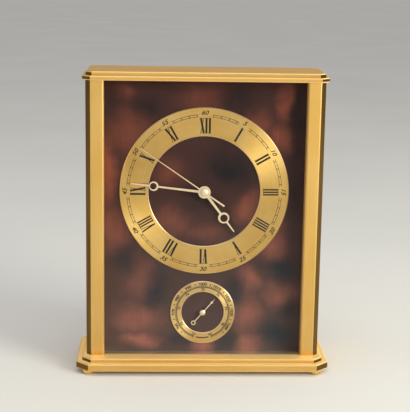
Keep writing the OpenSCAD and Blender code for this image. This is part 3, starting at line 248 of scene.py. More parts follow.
def brushed_case_brass(name, grain):
    """Rolled and extruded brass, brushed with a belt along its length and then lacquered.

    The eye sees fine streaks along the grain and a highlight that is spread across them. Bevels are rubbed
    matt, the ones underneath dullest, and their pale colour is a painted highlight. Cut corners on the
    outside were polished, and their brown is a painted shade. The lid's top is painted tan, a painted shade
    for the dull surroundings it mirrors at a slant. The base's tops in front of the glass are painted paler,
    a painted light, and its ledge behind the glass, which mirrors the panel, is painted near white, a painted
    brightening of that reflection. The belt's scratches are really 0.05 to 0.1 mm wide and 20 to 60 mm long.
    They are drawn 0.4 mm wide, because finer ones don't show.
    """
    scratch_width = 0.4 * MM
    scratch_length = 45 * MM
    patina_size = 30 * MM
    # A tangent needs a little of the other directions too, for faces that look along the grain
    off_grain = 0.02
    material, tree = new_finish(name)
    place = add(tree, "TexCoord").outputs["Object"]
    normal = add(tree, "NewGeometry").outputs["Normal"]
    bevel, underside, corner, open_top, recess, lid_top = face_masks(tree, normal)
    per_metre = [1 / (scratch_length if along else scratch_width) for along in grain]
    stretched = add(tree, "VectorMath", {0: place, 1: per_metre}, operation="MULTIPLY").outputs["Vector"]
    scratches = add(tree, "TexNoise", {
        "Vector": stretched, "Scale": 1.0, "Detail": 3.0, "Roughness": 0.6,
    }).outputs["Fac"]
    patina = add(tree, "TexNoise", {"Vector": place, "Scale": 1 / patina_size, "Detail": 3.0}).outputs["Fac"]
    gold = add(tree, "ValToRGB", {"Fac": patina}, stops=two_tones("#EABB66", "#F2C87A")).outputs["Color"]
    streak = add(tree, "MapRange", spread(scratches, 0.0, 0.3)).outputs["Result"]
    # Colours of painted shade for the outside cut corners and for the lid's top
    brown, lid_painted_shade = (
        add(tree, "ValToRGB", {"Fac": scratches}, stops=[(0.35, dark), (0.65, light)]).outputs["Color"]
        for dark, light in (("#624618", "#86642E"), ("#AE8850", "#CAA46A"))
    )
    # The pale bevels and undersides are painted highlights, and the paler base tops painted light
    colour = masked(tree, gold, [
        (streak, linear("#CE9A48")), (bevel, linear("#F0CA82")), (underside, linear("#F2CC92")),
        # The brown corners and tan lid are painted shade, the near white ledge a painted brightening of its
        # reflection
        (corner, brown), (open_top, linear("#F2CE8A")), (recess, linear("#FFF4E2")), (lid_top, lid_painted_shade),
    ])
    satin = add(tree, "MapRange", spread(scratches, 0.38, 0.46)).outputs["Result"]
    rough = masked(tree, satin, [
        (bevel, 0.5), (underside, 0.95), (corner, 0.24), (open_top, 0.55), (recess, 0.26), (lid_top, 0.5),
    ])
    lean = [1.0 if along else off_grain for along in grain]
    across = add(tree, "VectorMath", {0: normal, 1: lean}, operation="CROSS_PRODUCT").outputs["Vector"]
    bump = add(tree, "Bump", {"Strength": 0.12, "Distance": 0.02 * MM, "Height": scratches})
    shader = add(tree, "BsdfPrincipled", {
        "Base Color": colour, "Metallic": 1.0, "Roughness": rough,
        "Anisotropic": 0.8, "Tangent": across, "Normal": bump.outputs["Normal"],
    })
    add(tree, "OutputMaterial", {"Surface": shader.outputs["BSDF"]})
    return material


def turned_dial_brass(name, ring, dull, bright):
    """Brass ring, its face brushed round and round on a lathe before it was printed and lacquered.

    The grain runs round the ring, so a lamp shows as two opposite wedges of light, between two bevels whose
    pale colour is a painted highlight.
    The lathe's lines are really 0.05 mm apart. They are drawn 0.4 mm apart, because finer ones don't show.
    """
    line_spacing = 0.4 * MM
    # A line follows a circle of this radius through the noise as it goes round the ring, and so wavers
    line_bend = 2.5
    patina_size = 14 * MM
    low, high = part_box(ring)
    centre = (low + high) / 2
    material, tree = new_finish(name)
    place = add(tree, "TexCoord").outputs["Object"]
    spoke = add(tree, "VectorMath", {0: place, 1: list(centre)}, operation="SUBTRACT").outputs["Vector"]
    flat = add(tree, "VectorMath", {0: spoke, 1: (1, 0, 1)}, operation="MULTIPLY").outputs["Vector"]
    radius = add(tree, "VectorMath", {0: flat}, operation="LENGTH").outputs["Value"]
    outward = add(tree, "VectorMath", {0: flat}, operation="NORMALIZE").outputs["Vector"]
    turns = add(tree, "Math", {0: radius, 1: 1 / line_spacing}, operation="MULTIPLY").outputs["Value"]
    row = add(tree, "CombineXYZ", {"Y": turns}).outputs["Vector"]
    bent = add(tree, "VectorMath", {0: outward, 1: (line_bend,) * 3}, operation="MULTIPLY").outputs["Vector"]
    wound = add(tree, "VectorMath", {0: row, 1: bent}, operation="ADD").outputs["Vector"]
    lines = add(tree, "TexNoise", {
        "Vector": wound, "Scale": 1.0, "Detail": 3.0, "Roughness": 0.6,
    }).outputs["Fac"]
    patina = add(tree, "TexNoise", {"Vector": place, "Scale": 1 / patina_size, "Detail": 2.0}).outputs["Fac"]
    gold = add(tree, "ValToRGB", {"Fac": patina}, stops=two_tones(dull, bright)).outputs["Color"]
    streak = add(tree, "MapRange", spread(lines, 0.0, 0.22)).outputs["Result"]
    facing = add(tree, "SeparateXYZ", {0: add(tree, "NewGeometry").outputs["Normal"]}).outputs["Y"]
    bevel = add(tree, "Math", {0: facing, 1: -RING_FACE_FORWARD}, operation="GREATER_THAN").outputs["Value"]
    # The bevels' pale colour is a painted highlight along the ring's edges
    colour = masked(tree, gold, [(streak, linear("#C89250")), (bevel, linear("#FFE3BE"))])
    rough = add(tree, "MapRange", spread(lines, 0.34, 0.4)).outputs["Result"]
    bump = add(tree, "Bump", {"Strength": 0.1, "Distance": 0.02 * MM, "Height": lines})
    shader = add(tree, "BsdfPrincipled", {
        "Base Color": colour, "Metallic": 1.0, "Roughness": rough,
        "Anisotropic": 0.84, "Tangent": outward, "Normal": bump.outputs["Normal"],
    })
    add(tree, "OutputMaterial", {"Surface": shader.outputs["BSDF"]})
    return material


def metal(name, light, dark, rough_least, rough_most, grain_size, bump_height):
    """A plain metal whose colour and roughness drift between two values with a grain of the given size."""
    material, tree = new_finish(name)
    place = add(tree, "TexCoord").outputs["Object"]
    grain = add(tree, "TexNoise", {
        "Vector": place, "Scale": 1 / grain_size, "Detail": 4.0, "Roughness": 0.6,
    }).outputs["Fac"]
    colour = add(tree, "ValToRGB", {"Fac": grain}, stops=two_tones(dark, light)).outputs["Color"]
    rough = add(tree, "MapRange", spread(grain, rough_least, rough_most)).outputs["Result"]
    bump = add(tree, "Bump", {"Strength": 0.1, "Distance": bump_height, "Height": grain})
    shader = add(tree, "BsdfPrincipled", {
        "Base Color": colour, "Metallic": 1.0, "Roughness": rough, "Normal": bump.outputs["Normal"],
    })
    add(tree, "OutputMaterial", {"Surface": shader.outputs["BSDF"]})
    return material


def moulded(name, light, dark, rough_least, rough_most, grain_size, bump_height, coat=0.0):
    """A moulded, printed or painted surface: two close tones, and its grain in roughness and relief."""
    material, tree = new_finish(name)
    place = add(tree, "TexCoord").outputs["Object"]
    grain = add(tree, "TexNoise", {
        "Vector": place, "Scale": 1 / grain_size, "Detail": 4.0, "Roughness": 0.55,
    }).outputs["Fac"]
    colour = add(tree, "ValToRGB", {"Fac": grain}, stops=two_tones(dark, light)).outputs["Color"]
    rough = add(tree, "MapRange", spread(grain, rough_least, rough_most)).outputs["Result"]
    bump = add(tree, "Bump", {"Strength": 0.2, "Distance": bump_height, "Height": grain})
    shader = add(tree, "BsdfPrincipled", {
        "Base Color": colour, "Roughness": rough, "Normal": bump.outputs["Normal"],
        "IOR": 1.5, "Coat Weight": coat, "Coat Roughness": 0.1,
    })
    add(tree, "OutputMaterial", {"Surface": shader.outputs["BSDF"]})
    return material


# Clouds in the dial panel's lacquer: across and up from the chapter ring's centre, half width, half height
# and strength
PANEL_CLOUDS = [
    (-49, 61, 8, 5, 0.5),
    (-47, 37, 12, 12, 0.6),
    (-60, 14, 5, 22, 0.9),
    (-57, -24, 8, 12, 0.7),
    (-40, -56, 11, 12, 0.55),
    (-40, -82, 15, 9, 0.7),
    (-40, -97, 12, 5, 1.0),
    (-4, 60, 13, 9, 0.4),
    (-22, 12, 10, 9, 0.5),
    (-19, -20, 12, 8, 0.6),
    (27, -9, 7, 9, 0.8),
    (2, -26, 12, 6, 0.45),
    (50, 57, 5, 12, 0.75),
    (34, 44, 8, 8, 0.6),
    (48, 33, 8, 9, 0.8),
    (44, -31, 8, 12, 0.75),
    (29, -57, 9, 8, 0.75),
    (50, -67, 11, 7, 0.75),
    (28, -82, 8, 13, 0.75),
    (31, -99, 8, 6, 1.0),
    (-1, -100, 7, 6, 1.0),
]
# Dark pools in the same lacquer, which lie over the clouds
PANEL_POOLS = [
    (-56, 57, 6, 7, 0.6),
    (-36, 54, 8, 8, 0.7),
    (20, 57, 12, 9, 0.8),
    (58, 45, 4, 34, 0.6),
    (15, 16, 17, 13, 0.95),
    (58, 2, 5, 20, 0.6),
    (-1, -5, 11, 7, 0.5),
    (-51, -45, 7, 9, 0.65),
    (-28, -64, 8, 15, 0.8),
    (20, -62, 5, 8, 0.8),
    (48, -50, 12, 7, 0.85),
    (55, -76, 8, 7, 0.6),
    (46, -92, 14, 10, 0.95),
    (14, -97, 7, 5, 0.7),
    (-16, -97, 7, 5, 0.7),
]


def clouds(tree, place, table, middle):
    """Soft oval clouds, each as strong as its row says at its centre and gone past its edge."""
    strongest = 0.0
    for across, up, half_width, half_height, strength in table:
        centre = (middle.x + across * MM, 0, middle.z + up * MM)
        apart = add(tree, "VectorMath", {0: place, 1: centre}, operation="SUBTRACT").outputs["Vector"]
        scale = (1 / (half_width * MM), 0, 1 / (half_height * MM))
        oval = add(tree, "VectorMath", {0: apart, 1: scale}, operation="MULTIPLY").outputs["Vector"]
        far = add(tree, "VectorMath", {0: oval}, operation="LENGTH").outputs["Value"]
        soft = add(tree, "MapRange", {
            "Value": far, "From Min": 0.0, "From Max": CLOUD_EDGE, "To Min": strength, "To Max": 0.0,
        }, interpolation_type="SMOOTHSTEP").outputs["Result"]
        strongest = add(tree, "Math", {0: strongest, 1: soft}, operation="MAXIMUM").outputs["Value"]
    return strongest


def tortoiseshell_lacquer(name):
    """Red-brown lacquer under a clear polished coat, with lighter clouds and near-black pools in it.

    It imitates tortoiseshell. The clouds and pools are 12 to 60 mm long and blurred, because they lie at
    several depths in the lacquer. Brush marks, 1 to 2 mm apart, run up through them. Towards the foot the
    colours turn paler and greyer.
    """
    drift_size = 16 * MM
    drift_reach = 7 * MM
    mottle_size = 11 * MM
    brush_mark = (1.2 * MM, 1.2 * MM, 30 * MM)
    low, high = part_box("chapter_ring")
    middle = (low + high) / 2
    panel_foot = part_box("dial_panel")[0]
    material, tree = new_finish(name)
    place = add(tree, "TexCoord").outputs["Object"]
    drift = add(tree, "TexNoise", {"Vector": place, "Scale": 1 / drift_size, "Detail": 3.0}).outputs["Color"]
    centred = add(tree, "VectorMath", {0: drift, 1: (0.5, 0.5, 0.5)}, operation="SUBTRACT").outputs["Vector"]
    reach = 2 * drift_reach
    shift = add(tree, "VectorMath", {0: centred, "Scale": reach}, operation="SCALE").outputs["Vector"]
    warped = add(tree, "VectorMath", {0: place, 1: shift}, operation="ADD").outputs["Vector"]
    warm = clouds(tree, warped, PANEL_CLOUDS, middle)
    cold = clouds(tree, warped, PANEL_POOLS, middle)
    mottle = add(tree, "TexNoise", {"Vector": place, "Scale": 1 / mottle_size, "Detail": 5.0}).outputs["Fac"]
    mottled = add(tree, "MapRange", spread(mottle, 0.7, 1.2)).outputs["Result"]
    marks_scale = [1 / length for length in brush_mark]
    drawn_out = add(tree, "VectorMath", {0: place, 1: marks_scale}, operation="MULTIPLY").outputs["Vector"]
    marks = add(tree, "TexNoise", {"Vector": drawn_out, "Scale": 1.0, "Detail": 2.0}).outputs["Fac"]
    combed = add(tree, "MapRange", spread(marks, 0.86, 1.1)).outputs["Result"]
    uneven = add(tree, "Math", {0: mottled, 1: combed}, operation="MULTIPLY").outputs["Value"]
    glow = add(tree, "Math", {0: warm, 1: uneven}, operation="MULTIPLY").outputs["Value"]
    shade = add(tree, "Math", {0: cold, 1: uneven}, operation="MULTIPLY", use_clamp=True).outputs["Value"]
    height = add(tree, "SeparateXYZ", {0: place}).outputs["Z"]
    fade = add(tree, "MapRange", {
        "Value": height, "From Min": middle.z, "From Max": panel_foot.z, "To Min": 0.0, "To Max": 1.0,
    }).outputs["Result"]
    ground, cloud, pool = (
        add(tree, "MixRGB", {"Fac": fade, "Color1": linear(upper), "Color2": linear(lower)}).outputs["Color"]
        for upper, lower in (("#402725", "#554442"), ("#824636", "#9C655B"), ("#1A191D", "#2D3740"))
    )
    lit = add(tree, "MixRGB", {"Fac": glow, "Color1": ground, "Color2": cloud}).outputs["Color"]
    colour = add(tree, "MixRGB", {"Fac": shade, "Color1": lit, "Color2": pool}).outputs["Color"]
    shader = add(tree, "BsdfPrincipled", {
        "Base Color": colour, "Roughness": 0.28, "IOR": 1.5, "Specular IOR Level": 0.12,
        "Coat Weight": 0.1, "Coat Roughness": 0.04, "Coat IOR": 1.5,
    })
    add(tree, "OutputMaterial", {"Surface": shader.outputs["BSDF"]})
    return material


def clear_glass(name):
    """Float glass, 2 mm thick and polished, with a coating against reflections that clock glasses often have.

    The coating takes the reflection away for an eye in front, which the black tint gives, and the glass
    shines only at a slant. Only the camera's rays meet the real glass. All light goes straight through to
    the dial, so it lies evenly there.
    """
    material, tree = new_finish(name)
    glass = add(tree, "BsdfPrincipled", {
        "Base Color": linear("#FCFDFC"), "Roughness": 0.0, "IOR": 1.5, "Transmission Weight": 1.0,
        "Specular Tint": linear("#000000"),
    })
    clear = add(tree, "BsdfTransparent", {"Color": linear("#FAFBFA")})
    seen = add(tree, "LightPath").outputs["Is Camera Ray"]
    shader = add(tree, "MixShader", {0: seen, 1: clear.outputs["BSDF"], 2: glass.outputs["BSDF"]})
    add(tree, "OutputMaterial", {"Surface": shader.outputs["Shader"]})
    return material


def wound_copper(name):
    """Enamelled copper wire, wound on in layers, which shows as fine red-brown ribs.

    The wire is really 0.04 mm thick. It is drawn 0.157 mm thick, because a finer one doesn't show.
    """
    wire = 0.157 * MM
    # At scale 1 a band of the wave texture is this wide
    band = math.pi / 10
    material, tree = new_finish(name)
    place = add(tree, "TexCoord").outputs["Object"]
    turns = add(tree, "VectorMath", {0: place, 1: (1 / wire, 0, 0)}, operation="MULTIPLY").outputs["Vector"]
    wave = add(tree, "TexWave", {
        "Vector": turns, "Scale": band, "Distortion": 0.4, "Detail": 1.0,
    }, bands_direction="X").outputs["Fac"]
    colour = add(tree, "ValToRGB", {"Fac": wave}, stops=[(0.1, "#6E3518"), (0.9, "#C9733A")])
    bump = add(tree, "Bump", {"Strength": 0.6, "Distance": 0.08 * MM, "Height": wave})
    shader = add(tree, "BsdfPrincipled", {
        "Base Color": colour.outputs["Color"], "Metallic": 1.0, "Roughness": 0.3,
        "Normal": bump.outputs["Normal"],
    })
    add(tree, "OutputMaterial", {"Surface": shader.outputs["BSDF"]})
    return material


def finishes():
    """A material for each slot of the record, apart from the brass whose grain follows its piece."""
    return {
        # Polished on a wheel: a near mirror, with a faint haze in patches 2 mm wide
        "polished_brass": metal(
            "polished_brass", "#F2CE86", "#E6BA66", 0.12, 0.2, 2 * MM, 0.01 * MM),
        # Stamped, gilded and left satin: pale and soft, so that no reflection has an edge
        "hand_brass": metal(
            "gilt_hand_brass", "#FFEDD0", "#FFDFB8", 0.34, 0.44, 1.5 * MM, 0.01 * MM),
        # Turned or stamped, then plated: cool grey, with blurred reflections
        "plated_steel": metal(
            "nickel_plated_steel", "#D2D0CA", "#B9B7B1", 0.2, 0.32, 1 * MM, 0.01 * MM),
        # Drawn into a can, then plated: dull grey, clouded in patches 3 mm wide
        "zinc_plated_can": metal(
            "zinc_plated_steel", "#C4C5BF", "#A2A49E", 0.32, 0.45, 3 * MM, 0.02 * MM),
        # From a spark-eroded mould: near black and dull. Its pits are really 0.1 mm wide. They are drawn
        # 0.35 mm wide, because finer ones don't show
        "black_abs": moulded(
            "textured_black_abs", "#1E1E20", "#141415", 0.42, 0.55, 0.35 * MM, 0.03 * MM),
        # From a polished mould: milky white, with a waxy shine
        "white_acetal": moulded(
            "moulded_white_acetal", "#ECEAE2", "#DEDBD1", 0.35, 0.45, 1.2 * MM, 0.01 * MM),
        # Glass cloth and epoxy under green lacquer: glossy, and uneven at the cloth's spacing of 0.6 mm
        "circuit_laminate": moulded(
            "green_circuit_laminate", "#2C6A3E", "#1F5230", 0.3, 0.42, 0.6 * MM, 0.01 * MM, coat=0.5),
        # Plastic film shrunk onto the cell and printed dark: smooth, under a clear glossy coat
        "cell_jacket": moulded(
            "printed_cell_jacket", "#33343A", "#2A2B30", 0.25, 0.35, 3 * MM, 0.005 * MM, coat=0.6),
        # Printed through a screen: black, with a slight sheen
        "dial_enamel": moulded(
            "black_dial_enamel", "#1B1512", "#120E0C", 0.35, 0.45, 0.5 * MM, 0.005 * MM),
        "tortoiseshell_lacquer": tortoiseshell_lacquer("tortoiseshell_lacquer"),
        "clear_glass": clear_glass("clear_glass"),
        "copper_winding": wound_copper("enamelled_copper_winding"),
    }


def cover_pieces(made):
    """Lays its slot's material on each piece, and brushed or turned brass with the grain of its own."""
    along_x = brushed_case_brass("case_brass_brushed_across", (1, 0, 0))
    along_z = brushed_case_brass("case_brass_brushed_upward", (0, 0, 1))
    rings = {
        ring: turned_dial_brass("dial_brass_of_" + ring, ring, dull, bright)
        for ring, dull, bright in (
            ("chapter_ring", "#E4B566", "#EEC67E"),
            ("barometer_ring", "#EAC27E", "#F4D096"),
        )
    }
    for row in frame["record"]["subparts"]:
        piece = frame["nodes"][row["node"]]
        upright = piece.name.startswith(("post", "side_panel", "back_panel"))
        brushed = along_z if upright else along_x
        special = {"case_brass": brushed, "dial_brass": rings.get(piece.name)}
        chosen = special.get(row["material_slot"]) or made[row["material_slot"]]
        piece.data.materials.clear()
        piece.data.materials.append(chosen)


def on_dial(across, outward, clock):
    """A point of the dial: across and outward from its centre, turned clockwise by an angle in degrees."""
    turn = math.radians(clock)
    return (
        outward * math.sin(turn) + across * math.cos(turn),
        outward * math.cos(turn) - across * math.sin(turn),
    )


def stroke(foot, foot_out, head, head_out, width, clock):
    """A straight stroke of a letter, or a tick of a scale, cut off level at its foot and head."""
    half = width / 2
    return [
        [on_dial(foot - half, foot_out, clock), on_dial(foot + half, foot_out, clock)],
        [on_dial(head - half, head_out, clock), on_dial(head + half, head_out, clock)],
    ]


def arc(radius, width, start, end):
    """A line round the dial from one clock angle to another, in short steps."""
    most_degrees = 2
    steps = max(1, math.ceil(abs(end - start) / most_degrees))
    angles = [start + (end - start) * i / steps for i in range(steps + 1)]
    return [[on_dial(0, radius - width / 2, a), on_dial(0, radius + width / 2, a)] for a in angles]


def serif(middle, level, width, clock):
    """A thin level line across the end of a stroke."""
    half = width / 2 + SERIF_REACH
    edges = (level - SERIF_HEIGHT / 2, level + SERIF_HEIGHT / 2)
    return [[on_dial(middle - half, edge, clock), on_dial(middle + half, edge, clock)] for edge in edges]


def roman_numeral(letters, clock):
    """The strokes of one Roman numeral, its foot towards the dial's centre."""
    crowded = letters.count("I") >= 3
    stem = CROWDED_STEM if crowded else STEM
    gap = CROWDED_GAP if crowded else STEM_GAP
    widths = [stem if letter == "I" else SLANTED_WIDTH for letter in letters]
    middle = -(sum(widths) + gap * (len(letters) - 1)) / 2
    foot, head = NUMERAL_FOOT, NUMERAL_HEAD
    strokes = []
    for letter, width in zip(letters, widths):
        middle += width / 2
        left, right = middle - width / 2 + stem / 2, middle + width / 2 - HAIRLINE / 2
        if letter == "I":
            strokes.append(stroke(middle, foot, middle, head, stem, clock))
            ends = [(middle, foot, stem), (middle, head, stem)]
        elif letter == "V":
            strokes.append(stroke(middle, foot, left, head, stem, clock))
            strokes.append(stroke(middle, foot, right, head, HAIRLINE, clock))
            ends = [(left, head, stem), (right, head, HAIRLINE)]
        else:
            strokes.append(stroke(right, foot, left, head, stem, clock))
            strokes.append(stroke(left, foot, right, head, HAIRLINE, clock))
            ends = [(left, head, stem), (right, head, HAIRLINE), (right, foot, stem), (left, foot, HAIRLINE)]
        strokes += [serif(at, level, across, clock) for at, level, across in ends]
        middle += width / 2 + gap
    return strokes


def enamel_strokes(mesh, ribbons, centre, face):
    """Adds strips of paired points to a mesh as thin closed plates on a dial's face."""
    for ribbon in ribbons:
        rows = []
        for left, right in ribbon:
            corners = [(left, -PRINT_PROUD), (right, -PRINT_PROUD), (right, PRINT_SUNK), (left, PRINT_SUNK)]
            rows.append([
                mesh.verts.new((centre.x + x * MM, face + depth * MM, centre.z + z * MM))
                for (x, z), depth in corners
            ])
        for row, following in zip(rows, rows[1:]):
            for i in range(4):
                j = (i + 1) % 4
                mesh.faces.new((row[i], row[j], following[j], following[i]))
        mesh.faces.new(rows[0])
        mesh.faces.new(reversed(rows[-1]))


def flat_number(text, boldness, slant):
    """A plain number as a flat mesh of font size 1."""
    curve = bpy.data.curves.new("number", "FONT")
    curve.body = text
    curve.shear = slant
    curve.offset = boldness
    curve.align_x = "CENTER"
    curve.resolution_u = 3
    holder = bpy.data.objects.new("number", curve)
    shape = bpy.data.meshes.new_from_object(holder)
    bpy.data.objects.remove(holder)
    bpy.data.curves.remove(curve)
    return shape


def thicken(shape):
    """Makes a flat mesh that faces forward a closed plate of enamel.

    This goes corner by corner, because Blender's own extrusion stores the faces in a new order each time.
    """
    merge_distance = 0.002 * MM
    thickness = Vector((0, (PRINT_PROUD + PRINT_SUNK) * MM, 0))
    plate = bmesh.new()
    plate.from_mesh(shape)
    bmesh.ops.remove_doubles(plate, verts=plate.verts, dist=merge_distance)
    front_faces = plate.faces[:]
    rims = [edge for edge in plate.edges if edge.is_boundary]
    behind = {corner: plate.verts.new(corner.co + thickness) for corner in plate.verts[:]}
    for front in front_faces:
        plate.faces.new([behind[corner] for corner in reversed(front.verts[:])])
    for rim in rims:
        first, second = rim.verts
        plate.faces.new((first, second, behind[second], behind[first]))
    bmesh.ops.recalc_face_normals(plate, faces=plate.faces)
    plate.to_mesh(shape)
    plate.free()


def enamel_number(mesh, text, height, centre, face, radius, clock, boldness, slant=0.0, foot_out=False):
    """Adds a printed number, its foot towards the dial's centre or away from it."""
    shape = flat_number(text, boldness, slant)
    across, up = ([corner.co[axis] for corner in shape.vertices] for axis in (0, 1))
    tall = max(up) - min(up)
    size = height * MM / tall
    flip = Matrix.Rotation(math.pi, 4, "Y") if foot_out else Matrix.Identity(4)
    placed = (
        Matrix.Translation((centre.x, face - PRINT_PROUD * MM, centre.z))
        @ Matrix.Rotation(math.radians(clock), 4, "Y")
        @ Matrix.Translation((0, 0, radius * MM))
        @ flip
        @ Matrix.Rotation(math.pi / 2, 4, "X")
        @ Matrix.Diagonal((size * NUMBER_WIDENING, size, size, 1))
        @ Matrix.Translation((-(min(across) + max(across)) / 2, -min(up) - tall / 2, 0))
    )
    shape.transform(placed)
    thicken(shape)
    mesh.from_mesh(shape)
    bpy.data.meshes.remove(shape)


def enamel_piece(name, mesh, enamel):
    """Turns a finished mesh of enamel into a piece that rides on the case."""
    bmesh.ops.recalc_face_normals(mesh, faces=mesh.faces)
    data = bpy.data.meshes.new(name)
    mesh.to_mesh(data)
    mesh.free()
    piece = bpy.data.objects.new(name, data)
    bpy.context.scene.collection.objects.link(piece)
    data.materials.append(enamel)
    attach(piece, "case")


def face_of(ring):
    """A ring's centre and the depth of its printed face."""
    low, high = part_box(ring)
    return (low + high) / 2, low.y


def print_chapter_ring(enamel):
    """Roman numerals, the minute track in twelve stretches, and a minute number between each two."""
    centre, face = face_of("chapter_ring")
    numerals = bmesh.new()
    for hour, letters in enumerate(NUMERALS):
        enamel_strokes(numerals, roman_numeral(letters, hour * 30), centre, face)
    enamel_piece("hour_numerals", numerals, enamel)

    track = bmesh.new()
    degrees_per_minute = 6
    for first in range(0, 60, 5):
        beside_top = (first == 0, first == 55)
        before, after = (0 if at_top else TRACK_OVERRUN_MINUTES for at_top in beside_top)
        start, end = (first + 1 - before) * degrees_per_minute, (first + 4 + after) * degrees_per_minute
        lines = [arc(radius, TRACK_LINE, start, end) for radius in (TRACK_INNER, TRACK_OUTER)]
        ticks = [
            stroke(0, TRACK_INNER, 0, TRACK_OUTER, TRACK_TICK, (first + step) * degrees_per_minute)
            for step in range(1, 5)
        ]
        enamel_strokes(track, lines + ticks, centre, face)
    enamel_piece("minute_track", track, enamel)

    numbers = bmesh.new()
    for minute in range(5, 65, 5):
        enamel_number(
            numbers, str(minute), MINUTE_NUMBER_HEIGHT, centre, face, MINUTE_NUMBER_RADIUS,
            minute * degrees_per_minute, NUMBER_BOLDNESS, MINUTE_NUMBER_SLANT, minute in LOWER_MINUTES,
        )
    enamel_piece("minute_numbers", numbers, enamel)


def print_barometer_ring(enamel):
    """A scale whose ticks reach outward, with one row of plain numbers inside it and one outside."""
    centre, face = face_of("barometer_ring")
    scale = bmesh.new()
    ribbons = [
        arc(SCALE_RADIUS, SCALE_LINE, -SCALE_HALF, SCALE_HALF),
        arc(FOOT_DASH_RADIUS, FOOT_DASH_WIDTH, 180 - FOOT_DASH_HALF, 180 + FOOT_DASH_HALF),
    ]
    for angle in range(-SCALE_HALF, SCALE_HALF + 1, SCALE_STEP):
        whole, half = angle % DEGREES_PER_CM == 0, angle % (DEGREES_PER_CM // 2) == 0
        reach, width = WHOLE_TICK if whole else HALF_TICK if half else SMALL_TICK
        ribbons.append(stroke(0, SCALE_RADIUS, 0, SCALE_RADIUS + reach, width, angle))
    step = DEGREES_PER_10_HECTOPASCAL
    dot_inner = HECTOPASCAL_RADIUS - HECTOPASCAL_DOT_HALF
    dot_outer = HECTOPASCAL_RADIUS + HECTOPASCAL_DOT_HALF
    for angle in range(-HECTOPASCAL_REACH - step // 2, HECTOPASCAL_REACH + step // 2 + 1, step):
        ribbons.append(stroke(0, dot_inner, 0, dot_outer, HECTOPASCAL_DOT_WIDTH, angle))
    enamel_strokes(scale, ribbons, centre, face)
    enamel_piece("barometer_scale", scale, enamel)

    numbers = bmesh.new()
    rows = (
        (SCALE_HALF, DEGREES_PER_CM, MIDDLE_CM, 1, CM_HEIGHT, CM_RADIUS),
        (HECTOPASCAL_REACH, step, MIDDLE_HECTOPASCAL, 10, HECTOPASCAL_HEIGHT, HECTOPASCAL_RADIUS),
    )
    for half_angle, degrees, middle, value_step, height, radius in rows:
        for angle in range(-half_angle, half_angle + 1, degrees):
            text = str(middle + value_step * angle // degrees)
            enamel_number(numbers, text, height, centre, face, radius, angle, SMALL_NUMBER_BOLDNESS)
    enamel_piece("barometer_numbers", numbers, enamel)


def pale_floor():
    """A matt pale table top, wide enough to fill every view, with tones that drift over 25 cm."""
    patch_size = 0.25
    low, high = -FLOOR_HALF, FLOOR_HALF
    data = bpy.data.meshes.new("floor")
    data.from_pydata([(low, low, 0), (high, low, 0), (high, high, 0), (low, high, 0)], [], [(0, 1, 2, 3)])
    floor = bpy.data.objects.new("floor", data)
    bpy.context.scene.collection.objects.link(floor)
    material, tree = new_finish("matt_pale_floor")
    place = add(tree, "TexCoord").outputs["Object"]
    tone = add(tree, "TexNoise", {"Vector": place, "Scale": 1 / patch_size, "Detail": 3.0}).outputs["Fac"]
    colour = add(tree, "ValToRGB", {"Fac": tone}, stops=two_tones("#DAD8D5", "#DFDDDA")).outputs["Color"]
    shader = add(tree, "BsdfPrincipled", {"Base Color": colour, "Roughness": 0.9, "Specular IOR Level": 0.1})
    add(tree, "OutputMaterial", {"Surface": shader.outputs["BSDF"]})
    data.materials.append(material)


def soft_lamp(name, place, target, width, height, white_level, tint="#FFFFFF"):
    """A soft box aimed at the clock. A white card there, lit by it alone, is as bright as white_level."""
    place, target = Vector(place), Vector(target)
    distance = (place - target).length
    lamp = bpy.data.lights.new(name, "AREA")
    lamp.shape = "RECTANGLE"
    lamp.size = width
    lamp.size_y = height
    lamp.color = linear(tint)[:3]
    lamp.energy = white_level * (math.pi * distance) ** 2
    holder = bpy.data.objects.new(name, lamp)
    holder.location = place
    holder.rotation_euler = (target - place).to_track_quat("-Z", "Y").to_euler()
    holder.visible_camera = False
    bpy.context.scene.collection.objects.link(holder)


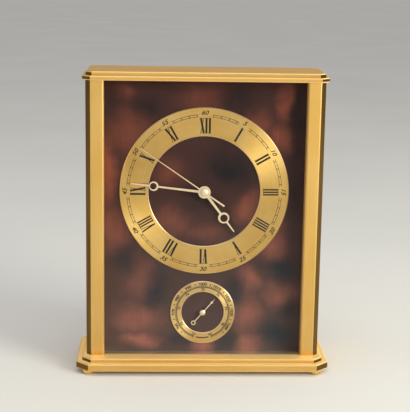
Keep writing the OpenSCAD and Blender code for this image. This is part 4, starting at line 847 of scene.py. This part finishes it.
def studio():
    """Soft light all round, a soft box overhead and three at the front and sides. Lengths are in metres."""
    world = bpy.data.worlds.new("studio")
    bpy.context.scene.world = world
    world.use_nodes = True
    tree = world.node_tree
    tree.nodes.clear()
    direction = add(tree, "TexCoord").outputs["Generated"]
    up = add(tree, "SeparateXYZ", {0: direction}).outputs["Z"]
    shade = add(tree, "ValToRGB", {"Fac": up}, stops=[(0.0, "#9E9D9B"), (0.35, "#A6A6A6"), (0.9, "#D8D8D6")])
    light = add(tree, "Background", {"Color": shade.outputs["Color"], "Strength": 1.0})
    add(tree, "OutputWorld", {"Surface": light.outputs["Background"]})
    middle = (0, 0, 0.1)
    soft_lamp("top_box", (0, -0.25, 1.1), middle, 0.9, 0.6, 0.25)
    soft_lamp("key_box", (1.02, -0.84, 0.52), middle, 0.7, 0.6, 1.02, "#FDFFEE")
    soft_lamp("front_box", (-0.2, -1.7, 0.75), middle, 1.4, 0.7, 0.1)
    soft_lamp("left_box", (-1.3, -0.3, 0.6), middle, 0.5, 0.8, 0.06)


def photograph_camera():
    """The photograph's viewing angle."""
    yaw, pitch, roll = (math.radians(a) for a in (CAMERA_YAW, CAMERA_PITCH, CAMERA_ROLL))
    back = Vector((-math.sin(yaw) * math.cos(pitch), -math.cos(yaw) * math.cos(pitch), math.sin(pitch)))
    level_right = Vector((math.cos(yaw), -math.sin(yaw), 0))
    level_up = back.cross(level_right)
    right = level_right * math.cos(roll) + level_up * math.sin(roll)
    up = level_up * math.cos(roll) - level_right * math.sin(roll)
    data = bpy.data.cameras.new("camera")
    data.sensor_fit = "AUTO"
    data.sensor_width = SENSOR
    data.lens = FOCAL_PIXELS * SENSOR / LONG_SIDE_PIXELS
    data.clip_start = 0.01
    data.clip_end = 200
    camera = bpy.data.objects.new("camera", data)
    turned = Matrix((right, up, back)).transposed().to_4x4()
    camera.matrix_world = Matrix.Translation(CAMERA_TARGET + back * CAMERA_DISTANCE) @ turned
    bpy.context.scene.collection.objects.link(camera)
    bpy.context.scene.camera = camera


surfaces = finishes()
cover_pieces(surfaces)
print_chapter_ring(surfaces["dial_enamel"])
print_barometer_ring(surfaces["dial_enamel"])
pale_floor()
studio()
photograph_camera()
bpy.context.scene.view_settings.view_transform = "Standard"
